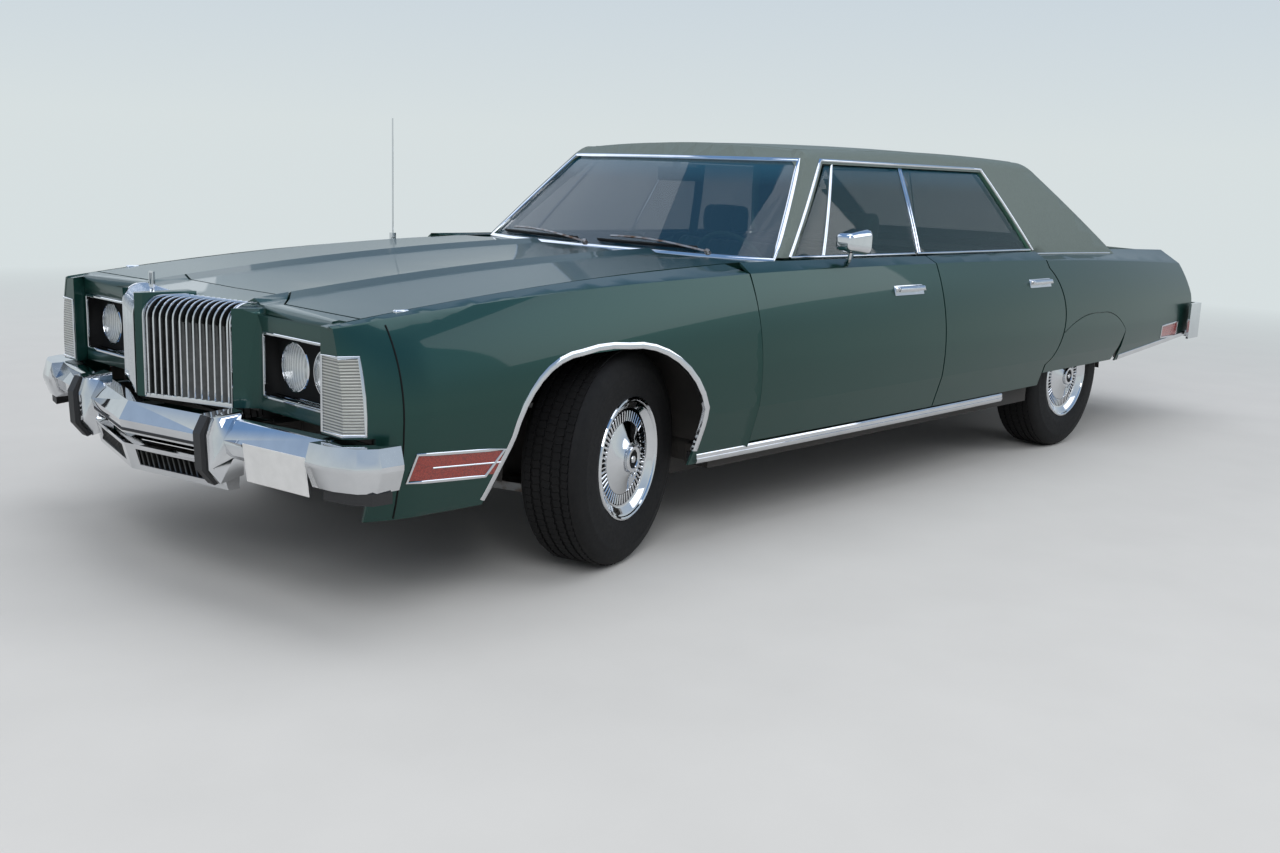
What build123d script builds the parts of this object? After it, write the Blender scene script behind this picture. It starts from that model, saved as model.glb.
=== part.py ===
from build123d import *
import os
from math import cos, hypot, pi, sin, sqrt

# Full-size four-door hardtop with a vinyl roof.
# Millimetres. +X forward, +Y left, +Z up.
# While it is modelled, lengths are measured from the front axle on the ground.
# save() shifts every piece so that the origin lies under the middle of the length.

os.makedirs("parts", exist_ok=True)

# Overall sizes
LENGTH = 5867
WHEELBASE = 3147
FRONT_OVERHANG = 1180
SHIFT = LENGTH / 2 - FRONT_OVERHANG
FRONT_END = FRONT_OVERHANG
REAR_END = FRONT_OVERHANG - LENGTH
REAR_AXLE = -WHEELBASE

# Wheels
TYRE_R = 352
TYRE_W = 222
RIM_R = 196
COVER_R = 203
TYRE_SIDES = 72
COVER_SLOTS = 48
SLOT_R = 134
SLOT_L = 34
SLOT_W = 7
TRACK_HALF = 806
STEER_REST = 17
KINGPIN_Y = 668

# Body side: half-width, shoulder crease and lower crease
W_MAX = 1004
W_MID_X = -1900
PLAN_R = 63000
CREASE_TOP = 935
CREASE_MID_X = -1750
CREASE_FRONT_X = 980
CREASE_FRONT_DROP = 110
CREASE_REAR_X = -4410
CREASE_REAR_DROP = 64
CREASE_IN = 73
CREASE_IN_NOSE = 42
WIDEST_Z = 640
LOWER_CREASE_Z = 477
LOWER_CREASE_IN = 5
ROCKER_Z = 345
ROCKER_IN = 42
BODY_BOTTOM_Z = 300
BODY_BOTTOM_IN = 58
BELT_Z = 962
BELT_IN = 125
PANEL_T = 8
GAP = 7.5

# Places along the side
NOSE_X = 978
NOSE_TUCK = 75
NOSE_TUCK_X = 740
FENDER_LOW_X = 905
FENDER_LOW_Z = 540
DOOR_FRONT_X = -613
DOOR_SPLIT_X = -1800
DOOR_REAR_X = -2880
DOOR_REAR_LOW_X = -2745
QUARTER_END_X = REAR_END + 117
QUARTER_TOP_X = REAR_END + 242

# Hood, cowl and nose
HOOD_HALF = 797
HOOD_REAR_X = -742
HOOD_FRONT_X = 882
HOOD_NOTCH_X = 792
HOOD_NOTCH_Y = 322
HOOD_STEP_Y = 420
HOOD_T = 22
RIDGE_Y = 322
RIDGE_H = 15
RIDGE_W = 34
HOOD_LIFT_FRONT = 5
HOOD_LIFT_REAR = 27
COWL_REAR_X = -905
COWL_HALF = 780

# Split waterfall grille on a V-shaped prow
GRILLE_IN_Y = 32
GRILLE_OUT_Y = 338
GRILLE_IN_X = 1108
GRILLE_OUT_X = 998
GRILLE_BOTTOM_Z = 545
GRILLE_TOP_Z = 845
GRILLE_BEND_R = 62
GRILLE_REAR_IN_X = 968
GRILLE_REAR_OUT_X = 912
GRILLE_BARS = 13
BAR_W = 10
BAR_T = 12
RAIL_W = 7
RAIL_PROUD = 3
ORNAMENT_X = 1063
ORNAMENT_TOP_Z = 912
NOSE_SIDE_Y = 385
NOSE_SIDE_X = 915
LAMP_IN_Y = 500
LAMP_OUT_Y = 668
LAMP_Z = 676
LAMP_R = 73
LAMP_X = 898
BEZEL_X = 940
BEZEL_IN_Y = 412
BEZEL_OUT_Y = 752
BEZEL_LOW_Z = 585
BEZEL_TOP_Z = 768
TURN_Y = 770
TURN_DEPTH = 52
TURN_LOW_Z = 548
TURN_TOP_Z = 752

# Bumpers
BUMPER_HALF = 1000
BUMPER_CREASE_Z = 480
GUARD_Y = 412
GUARD_W = 62
CAP_IN_Y = 812
VALANCE_SLATS = 14

# Greenhouse
BELT_GLASS_Y = 858
RAIL_Y = 655
RAIL_Z = 1332
ROOF_Z = 1405
ROOF_CORNER_Y = 560
ROOF_CORNER_Z = 1380
ROOF_MID_X = -2250
ROOF_LONG_R = 22000
ROOF_WALL = 46
SHIELD_LOW_X = -790
SHIELD_LOW_Z = 950
SHIELD_TOP_X = -1222
SHIELD_TOP_Z = 1360
SHIELD_R = 4500
SHIELD_HALF = 1050
BACK_TOP_X = -3010
BACK_TOP_Z = 1385
BACK_LOW_X = -3700
BACK_LOW_Z = 950
GLASS_T = 6

SIDE_TOP_Z = 1312
SIDE_OPENING = ((-975, BELT_Z - 7), (-2800, BELT_Z - 7), (-2570, SIDE_TOP_Z), (-1352, SIDE_TOP_Z))
PILLAR_GAP = 14
BACK_GLASS_HALF = 560
BACK_GLASS_LOW_Z = 1010
BACK_GLASS_TOP_Z = 1310

# Tail
TAIL_IN_Y = 806
TAIL_OUT_Y = 862
TAIL_LOW_Z = 560
TAIL_TOP_Z = 856
SKIRT_LOW_Z = 408

# Boot
LID_FRONT_X = -3790
LID_REAR_X = REAR_END + 247
LID_HALF = 770
DECK_Z = 968
DECK_DROP = 36
LID_T = 24
LID_FACE_LOW_Z = 720

# Doors
DOOR_SKIN = 10
DOOR_WALL = 92
DOOR_TOP_IN = 68
DOOR_INNER_SET = 24
HANDLE_REAR_IN = 150
HANDLE_FRONT_Z = 840
HANDLE_REAR_Z = 828
HINGE_BACK = 90
HINGE_IN = 26
HINGE_KNUCKLE_R = 9
HINGE_HEIGHTS = (530, 690)
HINGE_T = 18
PIN_R = 5

# Floor
FLOOR_Z = 225
FLOOR_T = 20
SILL_TOP_Z = ROCKER_Z - 8
SEAT_FLOOR_Z = 345
BOOT_FLOOR_Z = 452
TUNNEL_HALF = 150
TUNNEL_Z = 420


def plan_w(x):
    return W_MAX - (x - W_MID_X) ** 2 / (2 * PLAN_R)


def side_w(x):
    share = max(0, (x - NOSE_TUCK_X) / (NOSE_X - NOSE_TUCK_X))
    return plan_w(x) - NOSE_TUCK * share ** 2


def crease_z(x):
    if x > CREASE_MID_X:
        share = (x - CREASE_MID_X) / (CREASE_FRONT_X - CREASE_MID_X)
        return CREASE_TOP - CREASE_FRONT_DROP * share ** 3
    share = (x - CREASE_MID_X) / (CREASE_REAR_X - CREASE_MID_X)
    return CREASE_TOP - CREASE_REAR_DROP * share ** 2


def crease_y(x):
    share = max(0, (x + 1000) / 1980)
    return plan_w(x) - CREASE_IN - CREASE_IN_NOSE * share ** 2


def hood_edge_z(x):
    share = (NOSE_X - x) / (NOSE_X - HOOD_REAR_X)
    return crease_z(x) + HOOD_LIFT_FRONT + (HOOD_LIFT_REAR - HOOD_LIFT_FRONT) * share


def across(x):
    return Plane(origin=(x, 0, 0), x_dir=(0, 1, 0), z_dir=(1, 0, 0))


SIDE = Plane(origin=(0, 0, 0), x_dir=(1, 0, 0), z_dir=(0, -1, 0))


def prism(points, low, high):
    """A side-view outline (x, z) between two distances to the left."""
    face = SIDE * make_face(Polyline(*points, close=True))
    return Pos(0, low, 0) * extrude(face, -(high - low))


def plate(points, low, high):
    """A plan outline (x, y) between two heights."""
    face = make_face(Polyline(*points, close=True))
    return Pos(0, 0, low) * extrude(face, high - low)


def box(x0, x1, y0, y1, z0, z1):
    size = (x1 - x0, y1 - y0, z1 - z0)
    return Pos((x0 + x1) / 2, (y0 + y1) / 2, (z0 + z1) / 2) * Box(*size)


def mirrored(solid):
    return mirror(solid, about=Plane.XZ)


def both(solid):
    return [solid, mirrored(solid)]


def lower_part(solid, cutter):
    """What stays of a solid below a cutter that crosses it."""
    return (solid - cutter).solids().sort_by(Axis.Z)[0]


def inner_part(solid, cutter):
    """What stays of a solid inboard of a cutter that crosses it."""
    return (solid - cutter).solids().sort_by(Axis.Y)[0]


saved = []


def save(name, *solids):
    shape = Compound(children=[Pos(SHIFT, 0, 0) * s for s in flat(solids)])
    export_step(shape, f"parts/{name}.step")
    saved.append(name)


def flat(items):
    out = []
    for item in items:
        if isinstance(item, (list, tuple, ShapeList)):
            out.extend(flat(item))
        elif len(item.solids()) == 1:
            out.append(item.solids()[0])
        else:
            out.extend(item.solids())
    return out


def side_line(x, top, inset):
    """Points of the body side, from the top edge down, set in by a distance."""
    w = side_w(x)
    return [
        (top[0], top[1] - inset),
        (crease_y(x) - inset * 0.8, crease_z(x) - inset * 0.8),
        (w - inset, WIDEST_Z),
        (w - LOWER_CREASE_IN - inset, LOWER_CREASE_Z),
        (w - ROCKER_IN - inset, ROCKER_Z),
        (w - BODY_BOTTOM_IN - inset, BODY_BOTTOM_Z),
    ]


def side_face(x, top, outer, inner, inner_top=None):
    """Closed section of the body side between two insets."""
    t0, c0, w0, l0, r0, b0 = side_line(x, top, outer)
    t1, c1, w1, l1, r1, b1 = side_line(x, top, inner)
    if inner_top:
        t1 = inner_top
    lines = [
        Line(t0, c0),
        ThreePointArc(c0, w0, l0),
        Polyline(l0, r0, b0, b1, r1, l1),
        ThreePointArc(l1, w1, c1),
        Polyline(c1, t1, t0),
    ]
    return across(x) * make_face(lines)


def side_loft(stations, tops, outer, inner, inner_in=None):
    faces = []
    for x, top in zip(stations, tops):
        inner_top = (top[0] - inner_in, top[1] - outer) if inner_in else None
        faces.append(side_face(x, top, outer, inner, inner_top))
    return loft(faces)


def side_fill(stations, tops, inner_y, inset=PANEL_T / 2):
    """Solid block from an inner distance out to the body side, set in by a distance."""
    faces = []
    for x, top in zip(stations, tops):
        t0, c0, w0, l0, r0, b0 = side_line(x, top, inset)
        lines = [
            Line(t0, c0),
            ThreePointArc(c0, w0, l0),
            Polyline(l0, r0, b0, (inner_y, b0[1]), (inner_y, t0[1]), t0),
        ]
        faces.append(across(x) * make_face(lines))
    return loft(faces)


# Wheel arch of the front fender, as a side-view opening
def arch_opening(grow):
    r = grow
    lines = [
        Polyline((575 + r, 200), (462 + r, 500)),
        ThreePointArc((462 + r, 500), (372 + r * 0.8, 650 + r * 0.5), (200, 716 + r)),
        Line((200, 716 + r), (10, 722 + r)),
        ThreePointArc((10, 722 + r), (-215 - r * 0.7, 655 + r * 0.7), (-338 - r, 500)),
        Polyline((-338 - r, 500), (-338 - r, 430), (-312 - r, 200), (575 + r, 200)),
    ]
    return Pos(0, 500, 0) * extrude(SIDE * make_face(lines), -700)


# Front fenders
FENDER_STATIONS = (NOSE_X, 850, 560, 0, DOOR_FRONT_X - GAP)
fender_tops = [(HOOD_HALF + GAP, hood_edge_z(x)) for x in FENDER_STATIONS]
fender = side_loft(FENDER_STATIONS, fender_tops, 0, PANEL_T)
fender_outline = [
    (NOSE_X, 1000),
    (NOSE_X, FENDER_LOW_Z),
    (FENDER_LOW_X, FENDER_LOW_Z),
    (FENDER_LOW_X, BODY_BOTTOM_Z),
    (DOOR_FRONT_X + GAP / 2, BODY_BOTTOM_Z),
    (DOOR_FRONT_X + GAP / 2, 1000),
]
fender = fender & prism(fender_outline, 500, 1200)
fender = fender - arch_opening(0)

# Fender tip: closed behind the turn lamp
TIP_BACK = 60
fender_fill = side_fill(FENDER_STATIONS, fender_tops, TURN_Y - 6)
tip = fender_fill & prism([
    (NOSE_X - 1, 1000),
    (NOSE_X - 1, FENDER_LOW_Z),
    (NOSE_X - TIP_BACK, FENDER_LOW_Z),
    (NOSE_X - TIP_BACK, 1000),
], 600, 1200)
turn_hole = box(NOSE_X - TURN_DEPTH, NOSE_X + 30, TURN_Y, W_MAX, TURN_LOW_Z, TURN_TOP_Z)
fender = fender + tip - turn_hole
marker_hole = prism([(500, 392), (500, 464), (790, 484), (806, 412)], 900, 1100)
fender_left = (fender - marker_hole).solids().sort_by(SortBy.VOLUME)[-1]
save("front_fenders", both(fender_left))


# Hood: three sections with a raised ridge on each side
def hood_section(x, edge, under):
    z = hood_edge_z(x)
    low = z - under
    right = [
        (-edge, z),
        (-RIDGE_Y - RIDGE_W, z + 2),
        (-RIDGE_Y, z + 2 + RIDGE_H),
        (-RIDGE_Y + RIDGE_W, z + 2),
        (0, z),
    ]
    left = [(-y, h) for y, h in reversed(right[:-1])]
    return across(x) * make_face(Polyline(*right, *left, (edge, low), (-edge, low), close=True))


HOOD_STATIONS = (HOOD_FRONT_X, 100, HOOD_REAR_X)
hood_block = loft([hood_section(x, HOOD_HALF, HOOD_T) for x in HOOD_STATIONS])
hood_plan = [
    (HOOD_REAR_X, -HOOD_HALF),
    (HOOD_REAR_X, HOOD_HALF),
    (HOOD_FRONT_X - 8, HOOD_HALF),
    (HOOD_FRONT_X - 12, HOOD_STEP_Y),
    (HOOD_NOTCH_X, HOOD_NOTCH_Y),
    (HOOD_NOTCH_X, -HOOD_NOTCH_Y),
    (HOOD_FRONT_X - 12, -HOOD_STEP_Y),
    (HOOD_FRONT_X - 8, -HOOD_HALF),
]
hood = hood_block & plate(hood_plan, 700, 1100)
save("hood", hood)

# Nose panel: header over the grille, nose sides, lamp fascia
header_block = loft([hood_section(x, HOOD_HALF, HOOD_T) for x in (1000, HOOD_FRONT_X, HOOD_NOTCH_X)])
header_plan = [
    (HOOD_NOTCH_X + GAP, HOOD_NOTCH_Y - 3),
    (HOOD_FRONT_X - 12 + GAP, HOOD_STEP_Y),
    (HOOD_FRONT_X - 8 + GAP, HOOD_HALF),
    (NOSE_X - TIP_BACK - 1, HOOD_HALF),
    (NOSE_X - TIP_BACK - 1, TURN_Y - 7),
    (BEZEL_X, TURN_Y - 7),
    (NOSE_SIDE_X, NOSE_SIDE_Y),
    (GRILLE_REAR_OUT_X, GRILLE_OUT_Y + 4),
    (GRILLE_REAR_IN_X, 0),
]
header_plan = header_plan + [(x, -y) for x, y in reversed(header_plan[:-1])]
header = header_block & plate(header_plan, 700, 1100)
fascia = box(LAMP_X - 30, BEZEL_X, NOSE_SIDE_Y - 4, TURN_Y - 8, 545, 815)
recess = box(LAMP_X - 6, BEZEL_X + 5, BEZEL_IN_Y, BEZEL_OUT_Y, BEZEL_LOW_Z, BEZEL_TOP_Z)
fascia = fascia - recess
for y in (LAMP_IN_Y, LAMP_OUT_Y):
    fascia = fascia - Pos(LAMP_X - 40, y, LAMP_Z) * Rot(0, 90, 0) * Cylinder(LAMP_R + 0.5, 90)
nose_side_plan = [
    (GRILLE_OUT_X, GRILLE_OUT_Y + 4),
    (GRILLE_OUT_X - 20, GRILLE_OUT_Y + 16),
    (BEZEL_X, NOSE_SIDE_Y),
    (LAMP_X - 30, NOSE_SIDE_Y),
    (LAMP_X - 30, GRILLE_OUT_Y + 4),
]
nose_side = plate(nose_side_plan, GRILLE_BOTTOM_Z, 832)
centre_plan = [
    (GRILLE_IN_X + 12, 0),
    (GRILLE_IN_X, GRILLE_IN_Y - 4),
    (GRILLE_REAR_IN_X - 30, GRILLE_IN_Y - 4),
    (GRILLE_REAR_IN_X - 30, 4 - GRILLE_IN_Y),
    (GRILLE_IN_X, 4 - GRILLE_IN_Y),
]
centre = plate(centre_plan, GRILLE_BOTTOM_Z, GRILLE_TOP_Z + 6)
back_wall = box(LAMP_X - 30, LAMP_X - 22, -NOSE_SIDE_Y, NOSE_SIDE_Y, GRILLE_BOTTOM_Z, 832)
stem = box(ORNAMENT_X - 5, ORNAMENT_X + 5, -5, 5, GRILLE_TOP_Z + 5, ORNAMENT_TOP_Z - 44)
frame = box(ORNAMENT_X - 3, ORNAMENT_X + 3, -14, 14, ORNAMENT_TOP_Z - 45, ORNAMENT_TOP_Z)
frame = frame - box(ORNAMENT_X - 4, ORNAMENT_X + 4, -9, 9, ORNAMENT_TOP_Z - 40, ORNAMENT_TOP_Z - 5)
ornament = stem + frame + box(ORNAMENT_X - 2, ORNAMENT_X + 2, -2, 2, ORNAMENT_TOP_Z - 41, ORNAMENT_TOP_Z - 4)
nose = header + both(fascia) + both(nose_side) + centre + back_wall + ornament
save("nose_panel", nose)

# Grille: each half has a row of bars that bend over the top and run back to the hood
def grille_bar(share, y, width, proud):
    """One bar of the grille: up the front, over the bend and back to the hood."""
    front = GRILLE_IN_X + (GRILLE_OUT_X - GRILLE_IN_X) * share + proud
    rear = GRILLE_REAR_IN_X + (GRILLE_REAR_OUT_X - GRILLE_REAR_IN_X) * share + 4
    top = GRILLE_TOP_Z - 2 + proud
    t = BAR_T + proud
    r = GRILLE_BEND_R
    c = sin(pi / 4)
    outer = [
        Line((rear, top), (front - r, top)),
        ThreePointArc((front - r, top), (front - r + r * c, top - r + r * c), (front, top - r)),
        Polyline((front, top - r), (front, GRILLE_BOTTOM_Z + 4), (front - t, GRILLE_BOTTOM_Z + 4),
                 (front - t, top - r)),
        ThreePointArc((front - t, top - r), (front - r + (r - t) * c, top - r + (r - t) * c), (front - r, top - t)),
        Polyline((front - r, top - t), (rear, top - t), (rear, top)),
    ]
    return Pos(0, y - width / 2, 0) * extrude(SIDE * make_face(outer), -width)


bars = []
for i in range(GRILLE_BARS):
    share = (i + 0.5) / GRILLE_BARS
    bars.append(grille_bar(share, GRILLE_IN_Y + (GRILLE_OUT_Y - GRILLE_IN_Y) * share, BAR_W, 0))
bars.append(grille_bar(0, GRILLE_IN_Y - 3.5 + RAIL_W / 2, RAIL_W, RAIL_PROUD))
bars.append(grille_bar(1, GRILLE_OUT_Y + 3.5 - RAIL_W / 2, RAIL_W, RAIL_PROUD))


def grille_strip(back, depth, z0, z1):
    low_y = GRILLE_IN_Y - 3.5
    high_y = GRILLE_OUT_Y + 3.5
    points = [
        (GRILLE_IN_X - back, low_y),
        (GRILLE_OUT_X - back, high_y),
        (GRILLE_OUT_X - back - depth, high_y),
        (GRILLE_IN_X - back - depth, low_y),
    ]
    return plate(points, z0, z1)


grille_half = bars[0]
for bar in bars[1:]:
    grille_half = grille_half + bar
backing = grille_strip(BAR_T - 4, 10, GRILLE_BOTTOM_Z + 2, GRILLE_TOP_Z - GRILLE_BEND_R - 6)
foot = grille_strip(-2, 24, GRILLE_BOTTOM_Z, GRILLE_BOTTOM_Z + 12)
grille_half = grille_half + backing + foot
save("grille", both(grille_half))

# Headlamps and signal lamps
lamp_lines = Polyline((-60, 0), (-60, 30), (-22, LAMP_R), (0, LAMP_R), (9, 48), (14, 0), close=True)
lamp = revolve(make_face(lamp_lines), Axis.X)
lamps = [Pos(LAMP_X - 8, y, LAMP_Z) * lamp for y in (LAMP_IN_Y, LAMP_OUT_Y)]
save("headlamps", [both(item) for item in lamps])

# Doors
BELT_STATIONS = (DOOR_FRONT_X, -1250, DOOR_SPLIT_X, -2400, DOOR_REAR_X - 40)


def belt_top(x):
    return (plan_w(x) - BELT_IN, BELT_Z)


door_tops = [belt_top(x) for x in BELT_STATIONS]
skin_band = side_loft(BELT_STATIONS, door_tops, 0, DOOR_SKIN)
wall_band = side_loft(BELT_STATIONS, door_tops, DOOR_SKIN * 0.4, DOOR_WALL, DOOR_TOP_IN)


def rear_edge(shift, top, low):
    """Curved rear edge of the rear door, moved back by shift, from top to bottom."""
    x = DOOR_REAR_X - shift
    return [
        Line((x + 120, top), (x + 90, 890)),
        ThreePointArc((x + 90, 890), (x - 17, 690), (DOOR_REAR_LOW_X - shift, 450)),
        Line((DOOR_REAR_LOW_X - shift, 450), (DOOR_REAR_LOW_X - shift, low)),
    ]


def door_prism(x0, x1, front_in, rear_in, low_in):
    low = ROCKER_Z + 4 + low_in
    front = x0 - front_in
    if x1 != DOOR_REAR_X:
        return prism([(front, low), (front, 1000), (x1 + rear_in, 1000), (x1 + rear_in, low)], 500, 1200)
    rear = rear_edge(-rear_in, 1000, low)
    top = (DOOR_REAR_X + rear_in + 120, 1000)
    bottom = (DOOR_REAR_LOW_X + rear_in, low)
    lines = [Line((front, 1000), top), *rear, Polyline(bottom, (front, low), (front, 1000))]
    return Pos(0, 500, 0) * extrude(SIDE * make_face(lines), -700)


def door_shell(x0, x1):
    skin = skin_band & door_prism(x0, x1, GAP / 2, GAP / 2, 0)
    inner = wall_band & door_prism(x0, x1, HINGE_BACK + 24, GAP / 2 + DOOR_INNER_SET, 14)
    return skin + inner


HANDLE_L = 200
HANDLE_OUT = 20
handle_plate_band = side_loft(BELT_STATIONS, door_tops, -4, 2)
handle_grip_band = side_loft(BELT_STATIONS, door_tops, -HANDLE_OUT, 2)


def door_handle(x1, z):
    """Pull handle ahead of a door's rear edge: a plate on the skin and a grip that stands off it."""
    rear = x1 + HANDLE_REAR_IN
    front = rear + HANDLE_L
    back = handle_plate_band & prism([
        (rear, z - 18), (rear, z + 14), (rear + 5, z + 19), (front - 5, z + 19), (front, z + 14), (front, z - 18),
    ], 500, 1200)
    grip = handle_grip_band & prism([
        (rear + 8, z - 2), (rear + 8, z + 12), (rear + 12, z + 16), (front - 12, z + 16), (front - 8, z + 12),
        (front - 8, z - 2),
    ], 500, 1200)
    return back + grip


def hinge_axis(x0):
    return (x0 - GAP / 2 - HINGE_BACK, plan_w(x0) - HINGE_IN)


def door_lugs(x0):
    """Door halves of the two hinges: lugs with a bore that stand on the pillar's arms."""
    x, y = hinge_axis(x0)
    lugs = []
    for z in HINGE_HEIGHTS:
        low = z + HINGE_T / 2 + 0.5
        lug = box(x - 34, x, y - HINGE_KNUCKLE_R, y + HINGE_KNUCKLE_R, low, low + HINGE_T)
        lug = lug + Pos(x, y, low + HINGE_T / 2) * Cylinder(HINGE_KNUCKLE_R, HINGE_T)
        lugs.append(lug - Pos(x, y, low + HINGE_T / 2) * Cylinder(PIN_R + 1, HINGE_T + 2))
    return lugs


def hinge_arms(x0, post_y):
    """Pillar halves of the two hinges: an arm from the pillar with a standing pin."""
    x, y = hinge_axis(x0)
    arms = []
    for z in HINGE_HEIGHTS:
        arm = box(x - 7, x + 7, post_y - 5, y, z - HINGE_T / 2, z + HINGE_T / 2)
        arm = arm + Pos(x, y, z) * Cylinder(HINGE_KNUCKLE_R - 2, HINGE_T)
        arms.append(arm + Pos(x, y, z + HINGE_T) * Cylinder(PIN_R, 2 * HINGE_T))
    return arms


# Shape of the rear quarters
QUARTER_STATIONS = (-2700, -3300, -3900, QUARTER_END_X - 10)
DECK_FALL = 8e-6


def quarter_top(x):
    return (LID_HALF + GAP, BELT_Z - (x + 2700) ** 2 * DECK_FALL)


quarter_tops = [quarter_top(x) for x in QUARTER_STATIONS]

# Greenhouse: the roof section turned about a far axis below, cut by windshield and rear window
GREEN_PLANE = Plane(origin=(ROOF_MID_X, 0, 0), x_dir=(0, 1, 0), z_dir=(1, 0, 0))
GREEN_AXIS = Axis((ROOF_MID_X, 0, ROOF_Z - ROOF_LONG_R), (0, 1, 0))


def green_section(wall):
    belt = (BELT_GLASS_Y + 14 - wall, 880)
    rail = (RAIL_Y - wall, RAIL_Z - wall * 0.3)
    corner = (ROOF_CORNER_Y - wall, ROOF_CORNER_Z - wall)
    top = (0, ROOF_Z - wall)
    bow = ((belt[0] + rail[0]) / 2 + 9, (belt[1] + rail[1]) / 2)
    corner_mid = (RAIL_Y - wall - 26, RAIL_Z + 34 - wall * 0.75)
    half = corner[0] / 2
    drop = (ROOF_Z - ROOF_CORNER_Z) / 4
    lines = [
        Line((0, 880), belt),
        ThreePointArc(belt, bow, rail),
        ThreePointArc(rail, corner_mid, corner),
        ThreePointArc(corner, (half, ROOF_Z - wall - drop), top),
        Line(top, (0, 880)),
    ]
    return GREEN_PLANE * make_face(lines)


def green_solid(wall):
    face = green_section(wall)
    half = revolve(face, GREEN_AXIS, 5)
    half = half + revolve(face, GREEN_AXIS, -5)
    return half + mirrored(half)


def shield_line(inset):
    """Windshield line in the side view, moved back along the cabin by inset."""
    run = SHIELD_TOP_X - SHIELD_LOW_X
    rise = SHIELD_TOP_Z - SHIELD_LOW_Z
    length = hypot(run, rise)
    return (SHIELD_LOW_X - inset * rise / length, SHIELD_LOW_Z + inset * run / length, run / length, rise / length)


def shield_drum(inset):
    """Long block whose curved front is the windshield's surface."""
    x, z, dx, dz = shield_line(inset)
    plane = Plane(origin=(x - dx * 300, 0, z - dz * 300), x_dir=(0, 1, 0), z_dir=(dx, 0, dz))
    sag = SHIELD_R - sqrt(SHIELD_R ** 2 - SHIELD_HALF ** 2)
    lines = [
        ThreePointArc((-SHIELD_HALF, sag), (0, 0), (SHIELD_HALF, sag)),
        Polyline((SHIELD_HALF, sag), (SHIELD_HALF, 3600), (-SHIELD_HALF, 3600), (-SHIELD_HALF, sag)),
    ]
    return extrude(plane * make_face(lines), 3600)


def rear_cut(inset):
    run = BACK_LOW_X - BACK_TOP_X
    rise = BACK_LOW_Z - BACK_TOP_Z
    length = hypot(run, rise)
    nx, nz = rise / length, -run / length
    a = (BACK_TOP_X - run - nx * -inset, BACK_TOP_Z - rise - nz * inset)
    b = (BACK_LOW_X + run - nx * -inset, BACK_LOW_Z + rise - nz * inset)
    return prism([a, b, (-600, b[1]), (-600, a[1])], -1200, 1200)


def cabin(wall):
    return green_solid(wall) & shield_drum(wall) & rear_cut(wall)


# Roof shell with its openings; the pillars are what stays between them
PILLAR_T = 34
SHIELD_IN = 8
ROOF_FOOT_X = -2800


def below_quarter(x):
    """Section of the block that the foot of the roof stands on, just above the quarter."""
    top = quarter_top(x)[1] + 0.6
    return across(x) * make_face(Polyline(
        (700, 800), (700, top), (LID_HALF + GAP, top), (crease_y(x), crease_z(x) + 0.6), (1100, 800), close=True))


quarter_below = loft([below_quarter(x) for x in (-2780, -3000, -3250, -3500, -3980)], ruled=True)
roof = cabin(0) - cabin(ROOF_WALL) - box(ROOF_FOOT_X, 0, -1200, 1200, 0, BELT_Z + 1)
for side in (-1, 1):
    roof = roof - Pos(-1500, side * (COWL_HALF + 17 + 300), 0) * Box(2600, 600, 2 * (BELT_Z + 5))
roof = roof - quarter_below - mirrored(quarter_below)
roof = roof - box(-5000, ROOF_FOOT_X, -LID_HALF - GAP, LID_HALF + GAP, 0, BELT_Z + 0.8)
shield_hole = green_solid(PILLAR_T) - shield_drum(ROOF_WALL + 30)
shield_hole = shield_hole & box(-2000, 0, -1200, 1200, BELT_Z - 40, SIDE_TOP_Z + 6)
roof = roof - shield_hole
side_hole = prism(SIDE_OPENING, -1200, 1200)
roof = roof - side_hole
back_room = box(-5000, -2900, -BACK_GLASS_HALF, BACK_GLASS_HALF, BACK_GLASS_LOW_Z, BACK_GLASS_TOP_Z)
roof = roof - (back_room - rear_cut(ROOF_WALL + 30))
save("roof", roof)

inside = green_solid(PILLAR_T + 0.4) & box(-2000, 0, -1200, 1200, BELT_Z + 1.5, SIDE_TOP_Z + 5.6)
windshield = (inside & shield_drum(SHIELD_IN)) - shield_drum(SHIELD_IN + GLASS_T)
back_pane = box(-5000, -2900, 0.4 - BACK_GLASS_HALF, BACK_GLASS_HALF - 0.4,
                BACK_GLASS_LOW_Z + 0.4, BACK_GLASS_TOP_Z - 0.4)
rear_window = (back_pane & rear_cut(SHIELD_IN)) - rear_cut(SHIELD_IN + GLASS_T)
save("windshield", windshield)
save("rear_window", rear_window)

# Door glass: curved panes that stand in slots of the doors
GLASS_IN = 8
pane = green_solid(GLASS_IN) - green_solid(GLASS_IN + GLASS_T)
pane = pane & box(-5000, 0, 0, 1200, 935, 1400)
slot = green_solid(GLASS_IN - 0.5) - green_solid(GLASS_IN + GLASS_T + 0.5)
slot = slot & box(-5000, 0, 0, 1200, 930, 1400)
(front_low, back_low, back_top, front_top) = SIDE_OPENING
split_low = (DOOR_SPLIT_X - 26, front_low[1])
split_top = (DOOR_SPLIT_X - 96, front_top[1])


def pane_outline(a_low, a_top, b_low, b_top, a_in, b_in, low_a, low_b, low_z):
    """Front edge a, rear edge b, drop into the door between low_a and low_b."""
    return [
        (low_a, low_z),
        (low_a, BELT_Z - 4),
        (a_low[0] - a_in, BELT_Z + 3),
        (a_top[0] - a_in - 4, SIDE_TOP_Z - 6),
        (b_top[0] + b_in, SIDE_TOP_Z - 6),
        (b_low[0] + b_in, BELT_Z + 3),
        (low_b, BELT_Z - 4),
        (low_b, low_z),
    ]


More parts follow.
